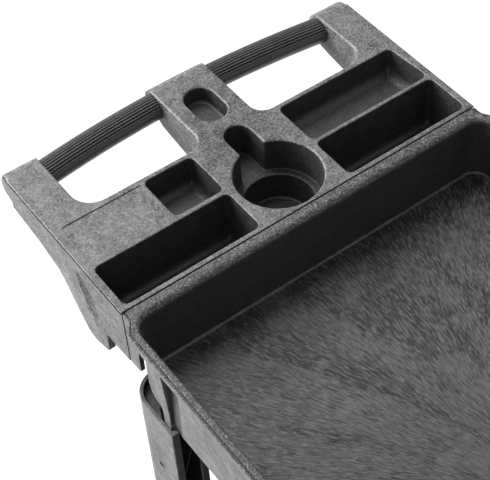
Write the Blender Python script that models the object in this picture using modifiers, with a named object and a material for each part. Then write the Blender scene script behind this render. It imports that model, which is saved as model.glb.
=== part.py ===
"""Two-shelf utility cart with a moulded handle console.

Metres, +Z up, +Y towards the handle end, +X to the right of someone pushing.
The origin lies on the floor, midway along and across the cart.
"""

import math

import bmesh
import bpy
from mathutils import Matrix, Vector

# Overall sizes
CART_HEIGHT = 0.845
TUB_LENGTH = 0.730
HANDLE_REACH = 0.240
RIM_HALF_WIDTH = 0.225
CONSOLE_SETBACK = 0.009
GAP = 0.0003
OVERSHOOT = 0.010
FAR = 0.5

# Tubs: both shelves are dished trays with a rim, a skirt and a ribbed underside
TOP_TUB_DEPTH = 0.0915
TOP_TUB_INSIDE = 0.073
BASE_TUB_DEPTH = 0.085
BASE_TUB_INSIDE = 0.060
FLOOR_THICKNESS = 0.005
RIM_BAND = 0.0105
END_BAND = 0.014
RIM_HEIGHT = 0.012
INNER_CORNER = 0.020
FOOT_CORNER = 0.042
OUTER_CORNER = 0.026
WALL_DRAFT = 0.0045
CORNER_WALL = 0.003
SKIRT_WALL = 0.0100
FLARE_START = 0.008
FLARE_END = 0.027
SEAM_TRIM = 0.012
GROOVE_INSET = 0.0032
GROOVE_WIDTH = 0.0016
GROOVE_DEPTH = 0.0026
LIP_DROP = 0.0012
RIB_THICKNESS = 0.004
RIB_DEPTH = 0.009
CROSS_RIBS = 4
LONG_RIBS = 2
LONG_RIB_STEP = 0.0015
SCOOP_LENGTH = 0.024
SCOOP_DEPTH = 0.0085
SCOOP_LEAN = 0.0020
SCOOP_DROP = 0.016

# Legs: a channel, open towards the middle of the cart, round a plug at each end
LEG_PROUD = 0.001
LEG_DEPTH = 0.035
LEG_WIDTH = 0.0745
LEG_INSET = 0.0055
LEG_WALL = 0.004
LEG_LIP = 0.0045
LEG_LIP_LENGTH = 0.004
LEG_CORNER = 0.028
LEG_FRONT_CORNER = 0.004
LEG_TOP_DROP = 0.0065
LEG_BRACES = 4
BRACE_THICKNESS = 0.003
POST_REAR = 0.0425
POST_FRONT = 0.0730
PLUG_REACH = 0.040
PLUG_THICKNESS = 0.0125
PLUG_CLEAR = 0.010
FILLER_DEPTH = 0.026
FILLER_LENGTH = (0.032, 0.036, 0.047)
TONGUE_REACH = 0.022
TONGUE_REAR = 0.0615
LEG_SLOT_DROP = 0.0890
LEG_SLOT_PLACE = 0.049
LEG_SLOT_SIZE = (0.0068, 0.0038)

# Console: a hollow moulding with bins, a cup well, hand holes and two side arms
SHELL = 0.0045
POCKET_WALL = 0.0032
HANDLE_BASE = 0.224
HANDLE_BOW = 0.0127
NOSE_RADIUS = 0.016
NOSE_END = 0.0045
CHEEK_WIDTH = 0.040
CHEEK_OVERLAP = 0.001
NECK_HALF_WIDTH = 0.0347
HOLE_FRONT = 0.1296
CUP_CENTRE = 0.0506
CUP_RADIUS = 0.0457
CUP_BORE = 0.0367
CUP_LEDGE = 0.041
CUP_DEPTH = 0.073
MUG_SLOT_HALF = 0.0148
MUG_SLOT_END = 0.133
OVAL_CENTRE = 0.176
OVAL_HALF_LENGTH = 0.028
OVAL_HALF_WIDTH = 0.018
OVAL_DEPTH = 0.020
BIN_SETBACK = 0.0075
BIN_INSIDE = 0.0545
FRONT_BIN = (0.0063, 0.061)
REAR_BIN = (0.0665, 0.1235)
LABEL_EDGE = 0.116
LABEL_DEPTH = 0.001
FRONT_BIN_DEPTH = 0.062
SMALL_BIN_DEPTH = 0.035
LONG_BIN_DEPTH = 0.032
BIN_CORNER = 0.0065
FASCIA_DROP = 0.0741
FASCIA_SLOPE = 0.07
SKIRT_REACH = 0.018
SKIRT_CORNER = 0.003
ARM_WIDTH = 0.008
ARM_CREASE = 0.0002
HOOK_SETBACK = 0.041
HOOK_SCREW_END = 0.025
HOOK_LENGTH = 0.0085
HOOK_THICKNESS = 0.0045
HOOK_SCREW_INSET = 0.0045
HOOK_SCREW_HEAD = 0.0037

# Handle bar: a bowed core with two ribbed grips over it
GRIP_RADIUS = 0.0147
GRIP_SETBACK = 0.003
CORE_RADIUS = 0.008
CORE_SETBACK = 0.024
GRIP_RIBS = 11
RIB_HEIGHT = 0.0011
RIB_ARC = (22.0, 158.0)

# Casters: two swivel at the handle end, two rigid at the other
CASTER_HEIGHT = 0.158
WHEEL_RADIUS = 0.0635
WHEEL_SIDES = 24
TREAD_WIDTH = 0.032
TYRE_THICKNESS = 0.0125
HUB_WIDTH = 0.038
HUB_RADIUS = 0.0155
CASTER_SETBACK = 0.065
CASTER_INSET = 0.078
TRAIL = 0.032
PLATE_LENGTH = 0.092
PLATE_WIDTH = 0.066
PLATE_THICKNESS = 0.003
BOLT_SPACING = (0.045, 0.074)
FORK_THICKNESS = 0.003
CROWN_RADIUS = 0.026
CROWN_GAP = 0.0075
PIN_RADIUS = 0.006
AXLE_RADIUS = 0.0046
SLEEVE_WALL = 0.0016
SCREW_RADIUS = 0.0024
SCREW_LENGTH = 0.014
SCREW_HEAD = 0.0036

# Places worked out from the sizes above
SEAM_Y = (TUB_LENGTH - HANDLE_REACH) / 2
BASE_TOP = CASTER_HEIGHT + BASE_TUB_DEPTH
LEG_TOP = CART_HEIGHT - TOP_TUB_DEPTH - LEG_TOP_DROP
LEG_FOOT = BASE_TOP + GAP
AXLE_DROP = CASTER_HEIGHT - GAP - WHEEL_RADIUS
FLARE = CONSOLE_SETBACK + GAP
CONSOLE_HALF_WIDTH = RIM_HALF_WIDTH - CONSOLE_SETBACK
CHEEK_INSIDE = CONSOLE_HALF_WIDTH - CHEEK_WIDTH
HANDLE_HALF_SPAN = CHEEK_INSIDE - CHEEK_OVERLAP
CORE_HALF_LENGTH = CONSOLE_HALF_WIDTH - CORE_SETBACK
BIN_OUTSIDE = CONSOLE_HALF_WIDTH - BIN_SETBACK
HOOK_HALF_WIDTH = CONSOLE_HALF_WIDTH - HOOK_SETBACK
CASTER_X = RIM_HALF_WIDTH - CASTER_SETBACK
LEG_OUT = RIM_HALF_WIDTH + LEG_PROUD
LEG_IN = LEG_OUT - LEG_DEPTH
LEG_FRONT = LEG_INSET + LEG_WIDTH
PLUG_FRONT = LEG_FRONT - LEG_LIP_LENGTH - 0.0025
GRIP_BASE = HANDLE_BASE - GRIP_SETBACK
HANDLE_DROP = NOSE_RADIUS + GAP
REAR_CASTER_Y = SEAM_Y - CASTER_INSET
FRONT_CASTER_Y = SEAM_Y - TUB_LENGTH + CASTER_INSET
CORNERS = {
    "front_left": (-1, -1),
    "front_right": (1, -1),
    "rear_left": (-1, 1),
    "rear_right": (1, 1),
}

# Sections of a side arm: height, then y of its front, ridge and rear, then how far the ridge stands out
ARM_SECTIONS = (
    (-0.1100, 0.0500, 0.0550, 0.0600, -0.0030),
    (-0.1080, 0.0465, 0.0600, 0.0660, 0.0012),
    (-0.1040, 0.0452, 0.0670, 0.0715, 0.0028),
    (-0.0980, 0.0450, 0.0750, 0.0790, 0.0032),
    (-0.0860, 0.0450, 0.0850, 0.0910, 0.0030),
    (-0.0750, 0.0452, 0.0940, 0.1030, 0.0026),
    (-0.0600, 0.0510, 0.1050, 0.1210, 0.0017),
    (-0.0500, 0.0555, 0.1130, 0.1320, 0.0009),
    (-0.0320, 0.0620, 0.1200, 0.1400, -0.0004),
)

# Colours, roughness and metallic value of the pieces
CHARCOAL = ((0.055, 0.057, 0.060, 1.0), 0.55, 0.0)
GRIP_BLACK = ((0.020, 0.021, 0.023, 1.0), 0.62, 0.0)
RUBBER = ((0.045, 0.046, 0.048, 1.0), 0.70, 0.0)
WHEEL_BLACK = ((0.030, 0.031, 0.033, 1.0), 0.50, 0.0)
ZINC = ((0.62, 0.63, 0.64, 1.0), 0.35, 1.0)
STEEL = ((0.50, 0.51, 0.53, 1.0), 0.30, 1.0)
BUSH = ((0.75, 0.74, 0.70, 1.0), 0.50, 0.0)


def clear_scene():
    """Empty the file, so that the cart is all it holds."""
    for item in list(bpy.data.objects):
        bpy.data.objects.remove(item)


def collection(name):
    """Return a new collection under the scene."""
    group = bpy.data.collections.new(name)
    bpy.context.scene.collection.children.link(group)
    return group


def temporary(data):
    """Put data in the scene as a working object."""
    item = bpy.data.objects.new("work", data)
    bpy.context.scene.collection.objects.link(item)
    return item


def evaluated_mesh(item):
    """Return the item's mesh with its modifiers and place applied, and remove the item."""
    bpy.context.view_layer.update()
    graph = bpy.context.evaluated_depsgraph_get()
    mesh = bpy.data.meshes.new_from_object(item.evaluated_get(graph))
    mesh.transform(item.matrix_world)
    bpy.data.objects.remove(item)
    return mesh


def tidy(mesh, weld=0.00001):
    """Weld loose caps, drop empty facets and turn every face outwards."""
    form = bmesh.new()
    form.from_mesh(mesh)
    bmesh.ops.remove_doubles(form, verts=form.verts, dist=weld)
    bmesh.ops.dissolve_degenerate(form, dist=weld / 2, edges=form.edges)
    bmesh.ops.recalc_face_normals(form, faces=form.faces)
    form.to_mesh(mesh)
    form.free()
    return mesh


def combine(body, tool, operation):
    """Boolean tool into body, and return the new mesh."""
    item = temporary(body)
    other = temporary(tool)
    step = item.modifiers.new(operation.lower(), "BOOLEAN")
    step.operation = operation
    step.solver = "EXACT"
    step.object = other
    mesh = evaluated_mesh(item)
    bpy.data.objects.remove(other)
    return tidy(mesh, 0.000002)


def cut(body, *tools):
    """Take each tool out of body."""
    for tool in tools:
        body = combine(body, tool, "DIFFERENCE")
    return body


def join(body, *tools):
    """Unite each tool with body."""
    for tool in tools:
        body = combine(body, tool, "UNION")
    return body


def common(body, tool):
    """Keep what body and tool share."""
    return combine(body, tool, "INTERSECT")


def moved(mesh, x=0.0, y=0.0, z=0.0):
    """Shift a mesh."""
    mesh.transform(Matrix.Translation((x, y, z)))
    return mesh


def mirrored(mesh, sign_x, sign_y):
    """Return a copy of mesh mirrored where a sign is negative."""
    twin = mesh.copy()
    twin.transform(Matrix.Diagonal((sign_x, sign_y, 1.0, 1.0)))
    if sign_x * sign_y < 0:
        twin.flip_normals()
    return twin


def arc(centre, radius, start, turn, steps):
    """Return points along an arc, in degrees."""
    angles = [math.radians(start + turn * i / steps) for i in range(steps + 1)]
    return [(centre[0] + radius * math.cos(a), centre[1] + radius * math.sin(a)) for a in angles]


def rounded(corners, radius, steps=4):
    """Return a closed outline whose corners are arcs; a corner may carry its own radius."""
    outline = []
    for index, corner in enumerate(corners):
        here = Vector(corner[:2])
        size = corner[2] if len(corner) > 2 else radius
        if size <= 0:
            outline.append(tuple(here))
            continue
        before = (Vector(corners[index - 1][:2]) - here).normalized()
        after = (Vector(corners[(index + 1) % len(corners)][:2]) - here).normalized()
        half = before.angle(after) / 2
        centre = here + (before + after).normalized() * (size / math.sin(half))
        first = here + before * (size / math.tan(half)) - centre
        last = here + after * (size / math.tan(half)) - centre
        start = math.degrees(math.atan2(first.y, first.x))
        turn = math.degrees(math.atan2(last.y, last.x)) - start
        turn = (turn + 180.0) % 360.0 - 180.0
        outline += arc(centre, size, start, turn, steps)
    return outline


def prism(outline, low, high, inset=0.0):
    """Extrude an outline from low to high along Z, its low end drawn in by inset."""
    curve = bpy.data.curves.new("outline", "CURVE")
    curve.dimensions = "2D"
    curve.fill_mode = "BOTH"
    curve.extrude = (high - low) / 2
    spline = curve.splines.new("POLY")
    spline.points.add(len(outline) - 1)
    for point, (x, y) in zip(spline.points, outline):
        point.co = (x, y, 0.0, 1.0)
    spline.use_cyclic_u = True
    mesh = tidy(evaluated_mesh(temporary(curve)))
    moved(mesh, z=(low + high) / 2)
    if inset:
        draw_in(mesh, outline, (low + high) / 2, inset)
    return mesh


def draw_in(mesh, outline, below, inset):
    """Move the vertices under a height towards the middle of the outline."""
    xs = [x for x, y in outline]
    ys = [y for x, y in outline]
    middle = Vector(((min(xs) + max(xs)) / 2, (min(ys) + max(ys)) / 2))
    share_x = 1 - 2 * inset / (max(xs) - min(xs))
    share_y = 1 - 2 * inset / (max(ys) - min(ys))
    for vertex in mesh.vertices:
        if vertex.co.z < below:
            vertex.co.x = middle.x + (vertex.co.x - middle.x) * share_x
            vertex.co.y = middle.y + (vertex.co.y - middle.y) * share_y


def side_prism(outline, left, right):
    """Extrude an outline drawn in Y and Z from left to right along X."""
    mesh = prism(outline, left, right)
    mesh.transform(Matrix(((0, 0, 1, 0), (1, 0, 0, 0), (0, 1, 0, 0), (0, 0, 0, 1))))
    return mesh


def box(low, high):
    """Return a box between two corners."""
    mesh = bpy.data.meshes.new("box")
    form = bmesh.new()
    bmesh.ops.create_cube(form, size=1.0)
    size = [b - a for a, b in zip(low, high)]
    middle = [(a + b) / 2 for a, b in zip(low, high)]
    bmesh.ops.scale(form, verts=form.verts, vec=size)
    bmesh.ops.translate(form, verts=form.verts, vec=middle)
    form.to_mesh(mesh)
    form.free()
    return mesh


def cylinder(radius, low, high, sides=24, axis="Z"):
    """Return a cylinder on an axis, from low to high along it."""
    mesh = bpy.data.meshes.new("cylinder")
    form = bmesh.new()
    bmesh.ops.create_cone(
        form, cap_ends=True, segments=sides, radius1=radius, radius2=radius, depth=high - low
    )
    form.to_mesh(mesh)
    form.free()
    moved(mesh, z=(low + high) / 2)
    if axis == "X":
        mesh.transform(Matrix.Rotation(math.radians(90), 4, "Y"))
    return mesh


def turned(profile, steps, ring=False, axis="Z"):
    """Turn a profile of (radius, height) points about an axis."""
    mesh = bpy.data.meshes.new("profile")
    count = len(profile)
    edges = [(i, i + 1) for i in range(count - 1)]
    if ring:
        edges.append((count - 1, 0))
    mesh.from_pydata([(radius, 0.0, height) for radius, height in profile], edges, [])
    item = temporary(mesh)
    screw = item.modifiers.new("turn", "SCREW")
    screw.axis = "Z"
    screw.angle = math.radians(360)
    screw.steps = steps
    screw.render_steps = steps
    screw.use_merge_vertices = True
    screw.merge_threshold = 0.00001
    solid = tidy(evaluated_mesh(item))
    if axis == "X":
        solid.transform(Matrix.Rotation(math.radians(90), 4, "Y"))
    return solid


def finish(name, mesh, look, group, location=(0.0, 0.0, 0.0), parent=None, smooth=None):
    """Make the named object of a mesh, with its material and place."""
    colour, roughness, metallic = look
    material = bpy.data.materials.new(name + "_finish")
    material.use_nodes = True
    shader = material.node_tree.nodes["Principled BSDF"]
    shader.inputs["Base Color"].default_value = colour
    shader.inputs["Roughness"].default_value = roughness
    shader.inputs["Metallic"].default_value = metallic
    mesh = mesh.copy()
    mesh.name = name
    mesh.materials.clear()
    mesh.materials.append(material)
    if smooth:
        mesh.shade_smooth()
        mesh.set_sharp_from_angle(angle=math.radians(smooth))
    item = bpy.data.objects.new(name, mesh)
    item.location = location
    item.parent = parent
    group.objects.link(item)
    return item


def frame_empty(name, group, location):
    """Make an empty that carries the pieces of one caster."""
    empty = bpy.data.objects.new(name, None)
    empty.empty_display_size = 0.02
    empty.location = location
    group.objects.link(empty)
    return empty


# The two tubs are drawn with their rim at height 0 and the console seam at y = 0


def stacked(rings):
    """Return the solid whose section passes through (outline, height) rings, low to high."""
    form = bmesh.new()
    loops = []
    for outline, height in rings:
        loops.append([form.verts.new((x, y, height)) for x, y in outline])
    for below, above in zip(loops, loops[1:]):
        for i in range(len(below)):
            form.faces.new((below[i - 1], below[i], above[i], above[i - 1]))
    form.faces.new(loops[0])
    form.faces.new(loops[-1])
    mesh = bpy.data.meshes.new("stack")
    form.to_mesh(mesh)
    form.free()
    return tidy(mesh)


def rim_outline(grow=0.0, flared=True):
    """Return the outline of the rim, grown outwards by grow; a flared end narrows to the console."""
    half = RIM_HALF_WIDTH + grow
    front = -TUB_LENGTH - grow
    corner = OUTER_CORNER + grow
    if not flared:
        corners = [(-half, front), (half, front), (half, grow), (-half, grow)]
        return rounded(corners, corner, 4)
    points = 5
    flare = [(half - FLARE, SEAM_TRIM)]
    for i in range(points + 1):
        share = i / points
        narrow = FLARE * (1 - share**2 * (3 - 2 * share))
        flare.append((half - narrow, -FLARE_START - (FLARE_END - FLARE_START) * share))
    right = [(half, front, corner)] + [(x, y, 0.0) for x, y in reversed(flare)]
    left = [(-x, y, 0.0) for x, y in flare] + [(-half, front, corner)]
    return rounded(right + left, 0.0, 4)


def rim_body(depth, flared):
    """Return a tub's outer form: drafted walls, a groove and a low lip along the rim."""
    outer_edge = rim_outline(GROOVE_WIDTH - GROOVE_INSET, flared)
    inner_edge = rim_outline(-GROOVE_INSET, flared)
    rings = [
        (rim_outline(-WALL_DRAFT, flared), -depth),
        (rim_outline(0.0, flared), -LIP_DROP),
        (outer_edge, -LIP_DROP),
        (outer_edge, -GROOVE_DEPTH),
        (inner_edge, -GROOVE_DEPTH),
        (inner_edge, 0.0),
    ]
    body = stacked(rings)
    if flared:
        body = cut(body, box((-FAR, 0.0, -FAR), (FAR, FAR, FAR)))
    return body


def well_outline(grow=0.0, corner=INNER_CORNER):
    """Return the outline of a tub's inside, grown outwards by grow."""
    half = RIM_HALF_WIDTH - RIM_BAND + grow
    rear = -END_BAND + grow
    front = -TUB_LENGTH + END_BAND - grow
    corners = [(-half, front), (half, front), (half, rear), (-half, rear)]
    return rounded(corners, corner + grow, 4)


def at_corners(mesh):
    """Return copies of a mesh, drawn for the rear right corner, at all four corners."""
    copies = []
    for sign_x, end in CORNERS.values():
        twin = mirrored(mesh, sign_x, end)
        if end < 0:
            moved(twin, y=-TUB_LENGTH)
        copies.append(twin)
    return copies


def well_ring(height, inside, corner, grow=0.0):
    """Return one ring of a tub's drafted wall, whose corner radius becomes corner at the floor."""
    share = -height / inside
    radius = INNER_CORNER + (corner - INNER_CORNER) * share
    return well_outline(grow - WALL_DRAFT * share, radius), height


def well_cutter(inside, corner):
    """Return the cutter of a tub's inside, open above the rim, with drafted walls."""
    return stacked([well_ring(-inside, inside, corner), well_ring(OVERSHOOT, inside, corner)])


def end_relief(depth, inside, corner):
    """Return the cutter that sets the end wall and corners back under the rim."""
    low = -depth - OVERSHOOT
    reach = LEG_FRONT - 0.012
    block = box((-FAR, -reach, low), (FAR, OVERSHOOT, -RIM_HEIGHT))
    kept = [
        well_ring(low - OVERSHOOT, inside, corner, CORNER_WALL),
        well_ring(OVERSHOOT, inside, corner, CORNER_WALL),
    ]
    return cut(block, stacked(kept))


def scoop(depth):
    """Return the cutter of the hollow beside a corner post, rear right corner."""
    start = -POST_FRONT
    deep = RIM_HALF_WIDTH - SCOOP_DEPTH
    outside = RIM_HALF_WIDTH + OVERSHOOT
    curve = []
    for i in range(6):
        share = i / 5
        curve.append((deep + (SCOOP_DEPTH + 0.001) * share**2, start - SCOOP_LENGTH * share))
    outline = [(outside, start)] + [(deep, start)] + curve[1:] + [(outside, curve[-1][1])]
    low = -depth - OVERSHOOT
    mesh = prism(list(reversed(outline)), low, -SCOOP_DROP)
    for vertex in mesh.vertices:
        if vertex.co.z < low + 0.001:
            vertex.co.x += SCOOP_LEAN
    return mesh


def post_profile():
    """Return the outline in Y and Z of a corner post and the tongue below it."""
    low = -TOP_TUB_DEPTH - TONGUE_REACH
    return [
        (-POST_REAR, -RIM_HEIGHT + 0.002),
        (-POST_REAR, -0.054),
        (-POST_REAR - 0.003, -0.066),
        (-POST_REAR - 0.009, -0.072),
        (-TONGUE_REAR + 0.0020, -0.0745),
        (-TONGUE_REAR, -0.080),
        (-TONGUE_REAR, low),
        (-POST_FRONT, low),
        (-POST_FRONT, -RIM_HEIGHT + 0.002),
    ]


def top_socket():
    """Return the post, tongue and plug that carry the rear right leg's top."""
    out = LEG_OUT - LEG_WALL - GAP
    base = -TOP_TUB_DEPTH
    floor = -TOP_TUB_INSIDE - 0.002
    plug_in = LEG_IN + LEG_WALL + GAP
    plug_out = plug_in + PLUG_THICKNESS
    rear = -LEG_INSET - LEG_WALL - GAP
    post = side_prism(post_profile(), plug_out - 0.001, out)
    plug = box((plug_in, -PLUG_FRONT, base - PLUG_REACH), (plug_out, rear - PLUG_CLEAR, floor))
    seat = base - LEG_TOP_DROP + GAP
    block = box((LEG_IN - 0.003, -PLUG_FRONT, seat), (plug_out - 0.002, rear - PLUG_CLEAR, floor))
    inside = plug_in + 0.001
    near, middle, far = [rear - length for length in FILLER_LENGTH]
    corner = LEG_CORNER - LEG_WALL - GAP
    fill = [(inside, near), (out - 0.0075, near), (out - 0.0055, middle), (out, far), (out, rear, corner)]
    top = base - LEG_TOP_DROP - 0.0015
    filler = prism(rounded(fill + [(inside, rear)], 0.0, 6), top - FILLER_DEPTH, top)
    return join(block, plug, post, filler)


def underside_ribs(floor_low, depth):
    """Return the ribs below a tub's floor as boxes that run into its skirt."""
    half = RIM_HALF_WIDTH - SKIRT_WALL - 0.006
    front = -TUB_LENGTH + END_BAND + 0.002
    rear = -END_BAND - 0.002
    thick = RIB_THICKNESS / 2
    ribs = []
    for i in range(CROSS_RIBS):
        y = rear + (front - rear) * (i + 1) / (CROSS_RIBS + 1)
        ribs.append(box((-half, y - thick, floor_low - depth), (half, y + thick, floor_low + 0.001)))
    low = floor_low - depth + LONG_RIB_STEP
    for i in range(LONG_RIBS):
        x = half * (2 * (i + 1) / (LONG_RIBS + 1) - 1)
        ribs.append(box((x - thick, front, low), (x + thick, rear, floor_low + 0.0015)))
    return ribs


def skirt_plate():
    """Return the fascia under the rear right rim corner, which the console's side meets."""
    top = -GROOVE_DEPTH - 0.002
    outline = [
        (0.0, top),
        (-SKIRT_REACH, top),
        (-SKIRT_REACH, -FASCIA_DROP + FASCIA_SLOPE * SKIRT_REACH, SKIRT_CORNER),
        (0.0, -FASCIA_DROP),
    ]
    out = CONSOLE_HALF_WIDTH - 2 * GAP
    return side_prism(rounded(outline, 0.0, 3), out - SHELL, out)


def underside_outline(corner):
    """Return the outline of the hollow below a tub's floor."""
    return well_outline(RIM_BAND - SKIRT_WALL - WALL_DRAFT, corner)


def top_shelf():
    """Return the upper tub with its rim, leg sockets and ribs."""
    body = rim_body(TOP_TUB_DEPTH, True)
    relief = end_relief(TOP_TUB_DEPTH, TOP_TUB_INSIDE, FOOT_CORNER)
    far_relief = mirrored(relief, 1, -1)
    moved(far_relief, y=-TUB_LENGTH)
    body = cut(body, relief, far_relief)
    body = cut(body, *at_corners(scoop(TOP_TUB_DEPTH)))
    floor_low = -TOP_TUB_INSIDE - FLOOR_THICKNESS
    body = cut(body, prism(underside_outline(FOOT_CORNER), -TOP_TUB_DEPTH - OVERSHOOT, floor_low))
    body = join(body, *underside_ribs(floor_low, RIB_DEPTH))
    body = join(body, *at_corners(top_socket()))
    plate = skirt_plate()
    body = join(body, plate, mirrored(plate, -1, 1))
    body = cut(body, well_cutter(TOP_TUB_INSIDE, FOOT_CORNER))
    body = cut(body, *at_corners(screw_bore(LEG_IN, -TOP_TUB_DEPTH - PLUG_REACH / 2)))
    bore = cylinder(SCREW_RADIUS + GAP, -RIM_HEIGHT - OVERSHOOT, -0.003, 8)
    return cut(body, *[moved(bore.copy(), x, -HOOK_SCREW_INSET) for x in console_screw_places()])


def corner_block(depth):
    """Return the pad that stands in the lower tub's rear right corner under a leg."""
    inside = LEG_IN - 0.006
    front = -LEG_FRONT - 0.008
    corners = [(inside, 0.0, 0.0), (inside, front, 0.008), (FAR, front, 0.0), (FAR, 0.0, 0.0)]
    return prism(rounded(corners, 0.0, 4), -depth - OVERSHOOT, OVERSHOOT * 2)


def base_socket():
    """Return the plug that stands up inside the rear right leg's foot."""
    plug_in = LEG_IN + LEG_WALL + GAP
    out = LEG_OUT - LEG_WALL - GAP
    front = -PLUG_FRONT
    rear = -LEG_INSET - LEG_WALL - 0.012
    wide = box((plug_in, front, -0.004), (plug_in + PLUG_THICKNESS, rear, PLUG_REACH))
    blade = box((plug_in + PLUG_THICKNESS - 0.001, front, -0.004), (out, front + 0.005, PLUG_REACH * 0.8))
    return join(wide, blade)


def caster_pad(x, y):
    """Return a solid pad below the lower tub's floor for a caster's plate."""
    half_x, half_y = PLATE_WIDTH / 2 + 0.004, PLATE_LENGTH / 2 + 0.004
    low = -BASE_TUB_DEPTH
    return box((x - half_x, y - half_y, low), (x + half_x, y + half_y, -BASE_TUB_INSIDE - 0.002))


def base_shelf():
    """Return the lower tub with its leg pads, ribs and caster pads."""
    body = rim_body(BASE_TUB_DEPTH, False)
    floor_low = -BASE_TUB_INSIDE - FLOOR_THICKNESS
    body = cut(body, prism(underside_outline(INNER_CORNER), -BASE_TUB_DEPTH - OVERSHOOT, floor_low))
    body = join(body, *underside_ribs(floor_low, RIB_DEPTH))
    for y in (REAR_CASTER_Y - SEAM_Y, FRONT_CASTER_Y - SEAM_Y):
        body = join(body, caster_pad(-CASTER_X, y), caster_pad(CASTER_X, y))
    well = well_cutter(BASE_TUB_INSIDE, INNER_CORNER)
    body = cut(body, cut(well, *at_corners(corner_block(BASE_TUB_DEPTH))))
    body = join(body, *at_corners(base_socket()))
    body = cut(body, *at_corners(screw_bore(LEG_IN, PLUG_REACH / 2)))
    low = -BASE_TUB_DEPTH - OVERSHOOT
    bore = cylinder(SCREW_RADIUS + GAP, low, -BASE_TUB_DEPTH + SCREW_LENGTH + 0.002, 8)
    for x in (-CASTER_X, CASTER_X):
        for y in (REAR_CASTER_Y - SEAM_Y, FRONT_CASTER_Y - SEAM_Y):
            body = cut(body, *[moved(bore.copy(), x + dx, y + dy) for dx, dy in plate_bolts()])
    return body


def screw_bore(face, z):
    """Return the bore of the rear right leg's screw, which runs along X."""
    y = -LEG_INSET - LEG_WIDTH / 2
    length = LEG_WALL + GAP + PLUG_THICKNESS - 0.001
    return moved(cylinder(SCREW_RADIUS + GAP, face - OVERSHOOT, face + length, 8, "X"), y=y, z=z)


def leg():
    """Return the rear right leg, with its foot at height 0 and the seam at y = 0."""
    length = LEG_TOP - LEG_FOOT
    inner_out, inner_in = LEG_OUT - LEG_WALL, LEG_IN + LEG_WALL
    lip_start = -LEG_FRONT + LEG_LIP_LENGTH
    corners = [
        (LEG_OUT, -LEG_FRONT, LEG_FRONT_CORNER),
        (LEG_OUT, -LEG_INSET, LEG_CORNER),
        (LEG_IN, -LEG_INSET, 0.006),
        (LEG_IN, -LEG_FRONT, 0.0),
        (LEG_IN + LEG_LIP, -LEG_FRONT, 0.0),
        (LEG_IN + LEG_LIP, lip_start - 0.001, 0.0),
        (inner_in, lip_start + 0.002, 0.0),
        (inner_in, -LEG_INSET - LEG_WALL, 0.002),
        (inner_out, -LEG_INSET - LEG_WALL, LEG_CORNER - LEG_WALL),
        (inner_out, lip_start + 0.002, 0.0),
        (LEG_OUT - LEG_LIP, lip_start - 0.001, 0.0),
        (LEG_OUT - LEG_LIP, -LEG_FRONT, 0.0),
    ]
    body = prism(rounded(corners, 0.0, 6), 0.0, length)
    low = PLUG_REACH + 0.004
    high = length - PLUG_REACH - TONGUE_REACH / 2
    rise = (high - low) / LEG_BRACES
    left, right = inner_in - 0.001, inner_out + 0.001
    rear = -LEG_INSET - LEG_WALL + 0.001
    inside = [(left, -LEG_FRONT), (right, -LEG_FRONT), (right, rear, LEG_CORNER - LEG_WALL), (left, rear)]
    core = prism(rounded(inside, 0.0, 6), 0.0, length)
    for i in range(LEG_BRACES):
        start, end = (left, right) if i % 2 == 0 else (right, left)
        rib = brace(start, end, low + i * rise, low + (i + 1) * rise - BRACE_THICKNESS)
        body = join(body, common(rib, core))
    slot_y, slot_z = LEG_SLOT_SIZE[0] / 2, LEG_SLOT_SIZE[1] / 2
    y = -LEG_SLOT_PLACE
    z = length - LEG_SLOT_DROP
    low_corner = (inner_out - 0.001, y - slot_y, z - slot_z)
    high_corner = (LEG_OUT + 0.001, y + slot_y, z + slot_z)
    body = cut(body, box(low_corner, high_corner))
    for height in (PLUG_REACH / 2, length - PLUG_REACH / 2 + LEG_TOP_DROP):
        body = cut(body, screw_bore(LEG_IN, height))
    return body


def brace(start, end, low, high):
    """Return one slanting rib inside a leg, between its two sides."""
    thick = 2 * BRACE_THICKNESS
    outline = [(start, low), (end, high), (end, high + thick), (start, low + thick)]
    front = -LEG_FRONT + 4 * LEG_LIP_LENGTH
    mesh = prism(outline, 0.0, -front)
    mesh.transform(Matrix(((1, 0, 0, 0), (0, 0, -1, 0), (0, 1, 0, 0), (0, 0, 0, 1))))
    return tidy(mesh)


# The console is drawn with its top at height 0 and the seam at y = 0


def bow(x, base):
    """Return how far behind the seam the handle's centre line lies at x: bowed, then straight."""
    reach = min(abs(x), HANDLE_HALF_SPAN)
    return base - HANDLE_BOW * (reach / HANDLE_HALF_SPAN) ** 2


def bar_curve(base, radius, reach, stations, sides=3, start=None):
    """Return a round bar along the handle's centre line, from start to reach."""
    start = -reach if start is None else start
    curve = bpy.data.curves.new("bar", "CURVE")
    curve.dimensions = "3D"
    curve.bevel_depth = radius
    curve.bevel_resolution = sides
    curve.use_fill_caps = True
    spline = curve.splines.new("POLY")
    spline.points.add(stations)
    for i, point in enumerate(spline.points):
        x = start + (reach - start) * i / stations
        point.co = (x, bow(x, base), -HANDLE_DROP, 1.0)
    return tidy(evaluated_mesh(temporary(curve)))


def console_outline(inset=0.0):
    """Return the console's outline in plan, drawn in by inset."""
    half = CONSOLE_HALF_WIDTH - inset
    base = HANDLE_BASE - inset
    rear = []
    stations = 12
    for i in range(stations + 1):
        x = HANDLE_HALF_SPAN * (1 - 2 * i / stations)
        rear.append((x, bow(x, base), 0.0))
    side = bow(half, base)
    end = NOSE_END if inset == 0.0 else 0.0
    seam = [(-half, GAP + inset, 0.0), (half, GAP + inset, 0.0)]
    return rounded(seam + [(half, side, end)] + rear + [(-half, side, end)], 0.0)


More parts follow.
